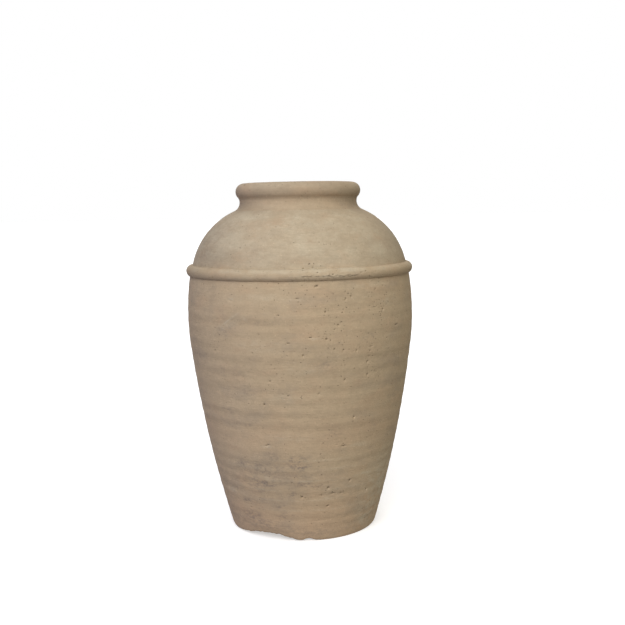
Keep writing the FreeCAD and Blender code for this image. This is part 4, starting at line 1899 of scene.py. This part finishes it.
@dataclass
class Mouth:
    """The waisted neck and the rolled rim round the bore.

    neck_out and rim_out are the directions in which the skins move at the neck's two
    seams, rim_along is the skin's direction at the upper one, and wiped_to the angle in
    degrees of the roll at which its wiped fillet ends.
    """

    potter: Potter
    finish: bpy.types.Material
    rim_finish: bpy.types.Material
    throw: Throw = Throw(fingers=0.0, lumps=0.25 * MM, sway=0.6 * MM, inside_gain=1.0)
    step: float = 1.1 * MM
    bore_step: float = 2.2 * MM
    lip_flat: float = 1.5 * MM
    neck_out: Point = (0.55, 0.84)
    rim_out: Point = (0.98, -0.2)
    rim_along: Point = (0.218, 0.976)
    wiped_to: float = -42.0

    def build(self) -> list[bpy.types.Object]:
        """Makes the neck and the rim."""
        return [self.neck(), self.rim()]

    def neck(self) -> bpy.types.Object:
        """Makes the neck.

        Returns:
            The piece.
        """
        form = self.potter.form
        low, high, key = form.neck_seam, form.rim_seam, form.neck_waist - form.wall / 2
        outer = [(form.neck_at(z), z) for z in spread(low, high, self.step)]
        bore = [(form.mouth_radius, z) for z in spread(high, low, self.bore_step)]
        turned_out = {0: self.neck_out, -1: self.rim_out}
        section = Section()
        section.groove(form, key, low)
        section.stretch(outer, Side.OUTSIDE, Divisions.FINE, turned_out)
        section.key(form, key, high)
        section.stretch(bore, Side.INSIDE, Divisions.MIDDLE)
        return self.potter.make("neck_collar", section, self.throw, self.finish, "clay")

    def rim(self) -> bpy.types.Object:
        """Makes the rim: a wiped fillet at its foot, the roll, a flat and the mouth's edge.

        Returns:
            The piece.
        """
        form = self.potter.form
        low, high, mouth = form.rim_seam, form.top, form.mouth_radius
        roll = (high - low) / 2
        centre = (form.neck_waist + form.rim_overhang - roll, low + roll)
        lip = centre[0] - mouth - self.lip_flat
        sine, cosine = math.sin(math.radians(self.wiped_to)), math.cos(math.radians(self.wiped_to))
        join = (centre[0] + roll * cosine, centre[1] + roll * sine)
        foot = (form.neck_at(low), low)
        fillet = bend(foot, self.rim_along, join, (-sine, cosine), self.step / 2)
        outer = arc(centre, roll, self.wiped_to, 90, self.step)
        flat = [(r, high) for r in spread(centre[0], mouth + lip, self.step)]
        edge = arc((mouth + lip, high - lip), lip, 90, 180, self.step)
        skin = fillet[:-1] + outer + flat[1:] + edge[1:]
        bore = [(mouth, z) for z in spread(high - lip, low, self.bore_step)]
        section = Section()
        section.groove(form, form.neck_waist - form.wall / 2, low)
        section.stretch(skin, Side.OUTSIDE, Divisions.FINE, {0: self.rim_out})
        section.stretch(bore, Side.INSIDE, Divisions.MIDDLE)
        return self.potter.make(
            "rim_roll", section, self.throw, self.rim_finish, "rim_clay", RIM_MARKS
        )


@dataclass
class SlipBeds:
    """The beds of slip in the joints, which stay as they are packed."""

    finish: bpy.types.Material
    ending: str = "_slip"

    def dress(self) -> None:
        """Gives each bed its finish."""
        for name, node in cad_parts.items():
            if not name.endswith(self.ending):
                continue
            node.data.materials.clear()
            node.data.materials.append(self.finish)
            LOG.info("%s: dressed as packed", name)


# ---------------------------------------------------------------------------------- studio
@dataclass(frozen=True)
class Lamp:
    """A far, wide lamp; turn, height and width are degrees, strength is in suns."""

    name: str
    turn: float
    height: float
    width: float
    strength: float
    tint: Colour = (1.0, 1.0, 1.0)


@dataclass
class Studio:
    """The pale floor, the soft light and the camera.

    The camera stands away from the jar's axis at the level of eye, dipped down, turned
    aside and leaned over by degrees; its lens is in millimetres. The room's light changes
    from cool to warm between cool_until and warm_from, across from -1 to 1.
    """

    away: float = 1.3926
    eye: float = 0.4647
    dip: float = 6.34
    aside: float = -0.74
    lean: float = 1.05
    lens: float = 54.72
    floor_half: float = 40.0
    floor_glow: float = 0.42
    floor_rough: float = 0.95
    floor_shine: float = 0.1
    floor_clouds: Cloud = Cloud(1.5)
    floor_tints: tuple[Colour, Colour] = ((0.82, 0.82, 0.82), (0.84, 0.84, 0.84))
    white: Colour = (1.0, 1.0, 1.0)
    room_glow: float = 0.30
    cool_until: float = -0.95
    warm_from: float = 0.45
    cool_side: Colour = (0.93, 0.95, 1.40)
    warm_side: Colour = (1.03, 1.0, 0.86)
    lamp_away: float = 3.0
    lamps: tuple[Lamp, ...] = (
        Lamp("key", -9.0, 36.0, 60.0, 2.75, (1.0, 0.99, 0.97)),
        Lamp("back", 180.0, 34.0, 60.0, 1.15),
    )

    def build(self) -> None:
        """Sets everything up."""
        self.floor()
        self.room()
        for lamp in self.lamps:
            self.hang(lamp)
        self.camera()
        bpy.context.scene.view_settings.view_transform = "Standard"

    def floor(self) -> None:
        """Lays a plain pale table top that glows a little, as a lit one does."""
        half = self.floor_half
        corners = [(-half, -half, 0), (half, -half, 0), (half, half, 0), (-half, half, 0)]
        mesh = bpy.data.meshes.new("floor")
        mesh.from_pydata(corners, [], [(0, 1, 2, 3)])
        material, w, shader = new_material("pale table top")
        cloud = w.noise(w.flow("ShaderNodeTexCoord", {}, "Object"), self.floor_clouds)
        w.feed(w.mix(cloud, *self.floor_tints), shader["Base Color"])
        w.feed(self.floor_rough, shader["Roughness"])
        w.feed(self.floor_shine, shader["Specular IOR Level"])
        w.feed(self.white, shader["Emission Color"])
        w.feed(self.floor_glow, shader["Emission Strength"])
        mesh.materials.append(material)
        floor = bpy.data.objects.new("floor", mesh)
        floor.visible_diffuse = False
        bpy.context.scene.collection.objects.link(floor)

    def room(self) -> None:
        """Fills the room with pale light, cool from the left and warm from the right."""
        world = bpy.data.worlds.new("room")
        bpy.context.scene.world = world
        world.use_nodes = True
        w = Wiring(world.node_tree)
        side = w.flow("ShaderNodeTexCoord", {}, "Generated").parts()[0]
        tint = w.mix(w.remap(side, self.cool_until, self.warm_from), self.cool_side, self.warm_side)
        light = w.flow("ShaderNodeBackground", {"Color": tint, "Strength": self.room_glow})
        seen = w.flow("ShaderNodeBackground", {"Color": self.white})
        looked_at = w.flow("ShaderNodeLightPath", {}, "Is Camera Ray")
        both = w.flow("ShaderNodeMixShader", {0: looked_at, 1: light, 2: seen})
        w.feed(both, w.tree.nodes["World Output"].inputs["Surface"])

    def hang(self, lamp: Lamp) -> None:
        """Hangs one lamp, facing the jar's foot.

        Args:
            lamp: The lamp.
        """
        light = bpy.data.lights.new(lamp.name, "SUN")
        light.energy = lamp.strength
        light.angle = math.radians(lamp.width)
        light.color = lamp.tint
        turn, height = math.radians(lamp.turn), math.radians(lamp.height)
        level = math.cos(height)
        arm = Vector((math.sin(turn) * level, -math.cos(turn) * level, math.sin(height)))
        hung = bpy.data.objects.new(lamp.name, light)
        hung.location = arm * self.lamp_away
        hung.rotation_euler = (-arm).to_track_quat("-Z", "Y").to_euler()
        bpy.context.scene.collection.objects.link(hung)

    def camera(self) -> None:
        """Stands the camera before the jar, dipped, turned aside and leaned a little."""
        data = bpy.data.cameras.new("camera")
        data.lens = self.lens
        camera = bpy.data.objects.new("camera", data)
        camera.location = (0.0, -self.away, self.eye)
        upright = Euler((math.radians(90.0 - self.dip), 0.0, math.radians(self.aside))).to_matrix()
        roll = Euler((0.0, 0.0, -math.radians(self.lean))).to_matrix()
        camera.rotation_euler = (upright @ roll).to_euler()
        bpy.context.scene.collection.objects.link(camera)
        bpy.context.scene.camera = camera


def main() -> None:
    """Builds the jar and its studio, and reports each piece."""
    logging.basicConfig(level=logging.INFO, format="%(name)s: %(message)s")
    groups = ShadeGroups()
    potter = Potter(Form.of_frame(), ThrownClay())
    wall_clay = ClayFinish("wall clay")
    dome_clay = ClayFinish(
        "shoulder clay", clay=(0.435, 0.348, 0.238), lime_amount=0.68, pinholes=0.03,
        band_amount=0.10, stroke_amount=0.22, ring_dirt=0.10,
    )
    neck_clay = ClayFinish(
        "neck clay", clay=(0.43, 0.334, 0.225), warm_share=0.25, lime_amount=0.2, pinholes=0.03,
        band_amount=0.16, stroke_amount=0.16, ring_dirt=0.0,
    )
    rim_clay = ClayFinish(
        "rim clay", clay=(0.39, 0.302, 0.205), lime_amount=0.3, pinholes=0.03,
        band_amount=0.22, ring_dirt=0.0,
    )
    cordon_clay = ClayFinish(
        "cordon clay", lime_amount=0.75, band_amount=0.10, stroke_amount=0.05,
        ring_dirt=0.0, hole_dirt=0.35,
    )
    finishes = (wall_clay, dome_clay, cordon_clay, neck_clay, rim_clay)
    wall, dome, cordon, neck, rim = (finish.material(groups) for finish in finishes)
    pieces = [
        *Base(potter, wall).build(),
        *Wall(potter, wall).build(),
        *Shoulder(potter, dome, cordon).build(),
        *Mouth(potter, neck, rim).build(),
    ]
    SlipBeds(SlipFinish("set slip").material()).dress()
    Studio().build()
    LOG.info("%d pieces built", len(pieces))


if __name__ == "__main__":
    main()
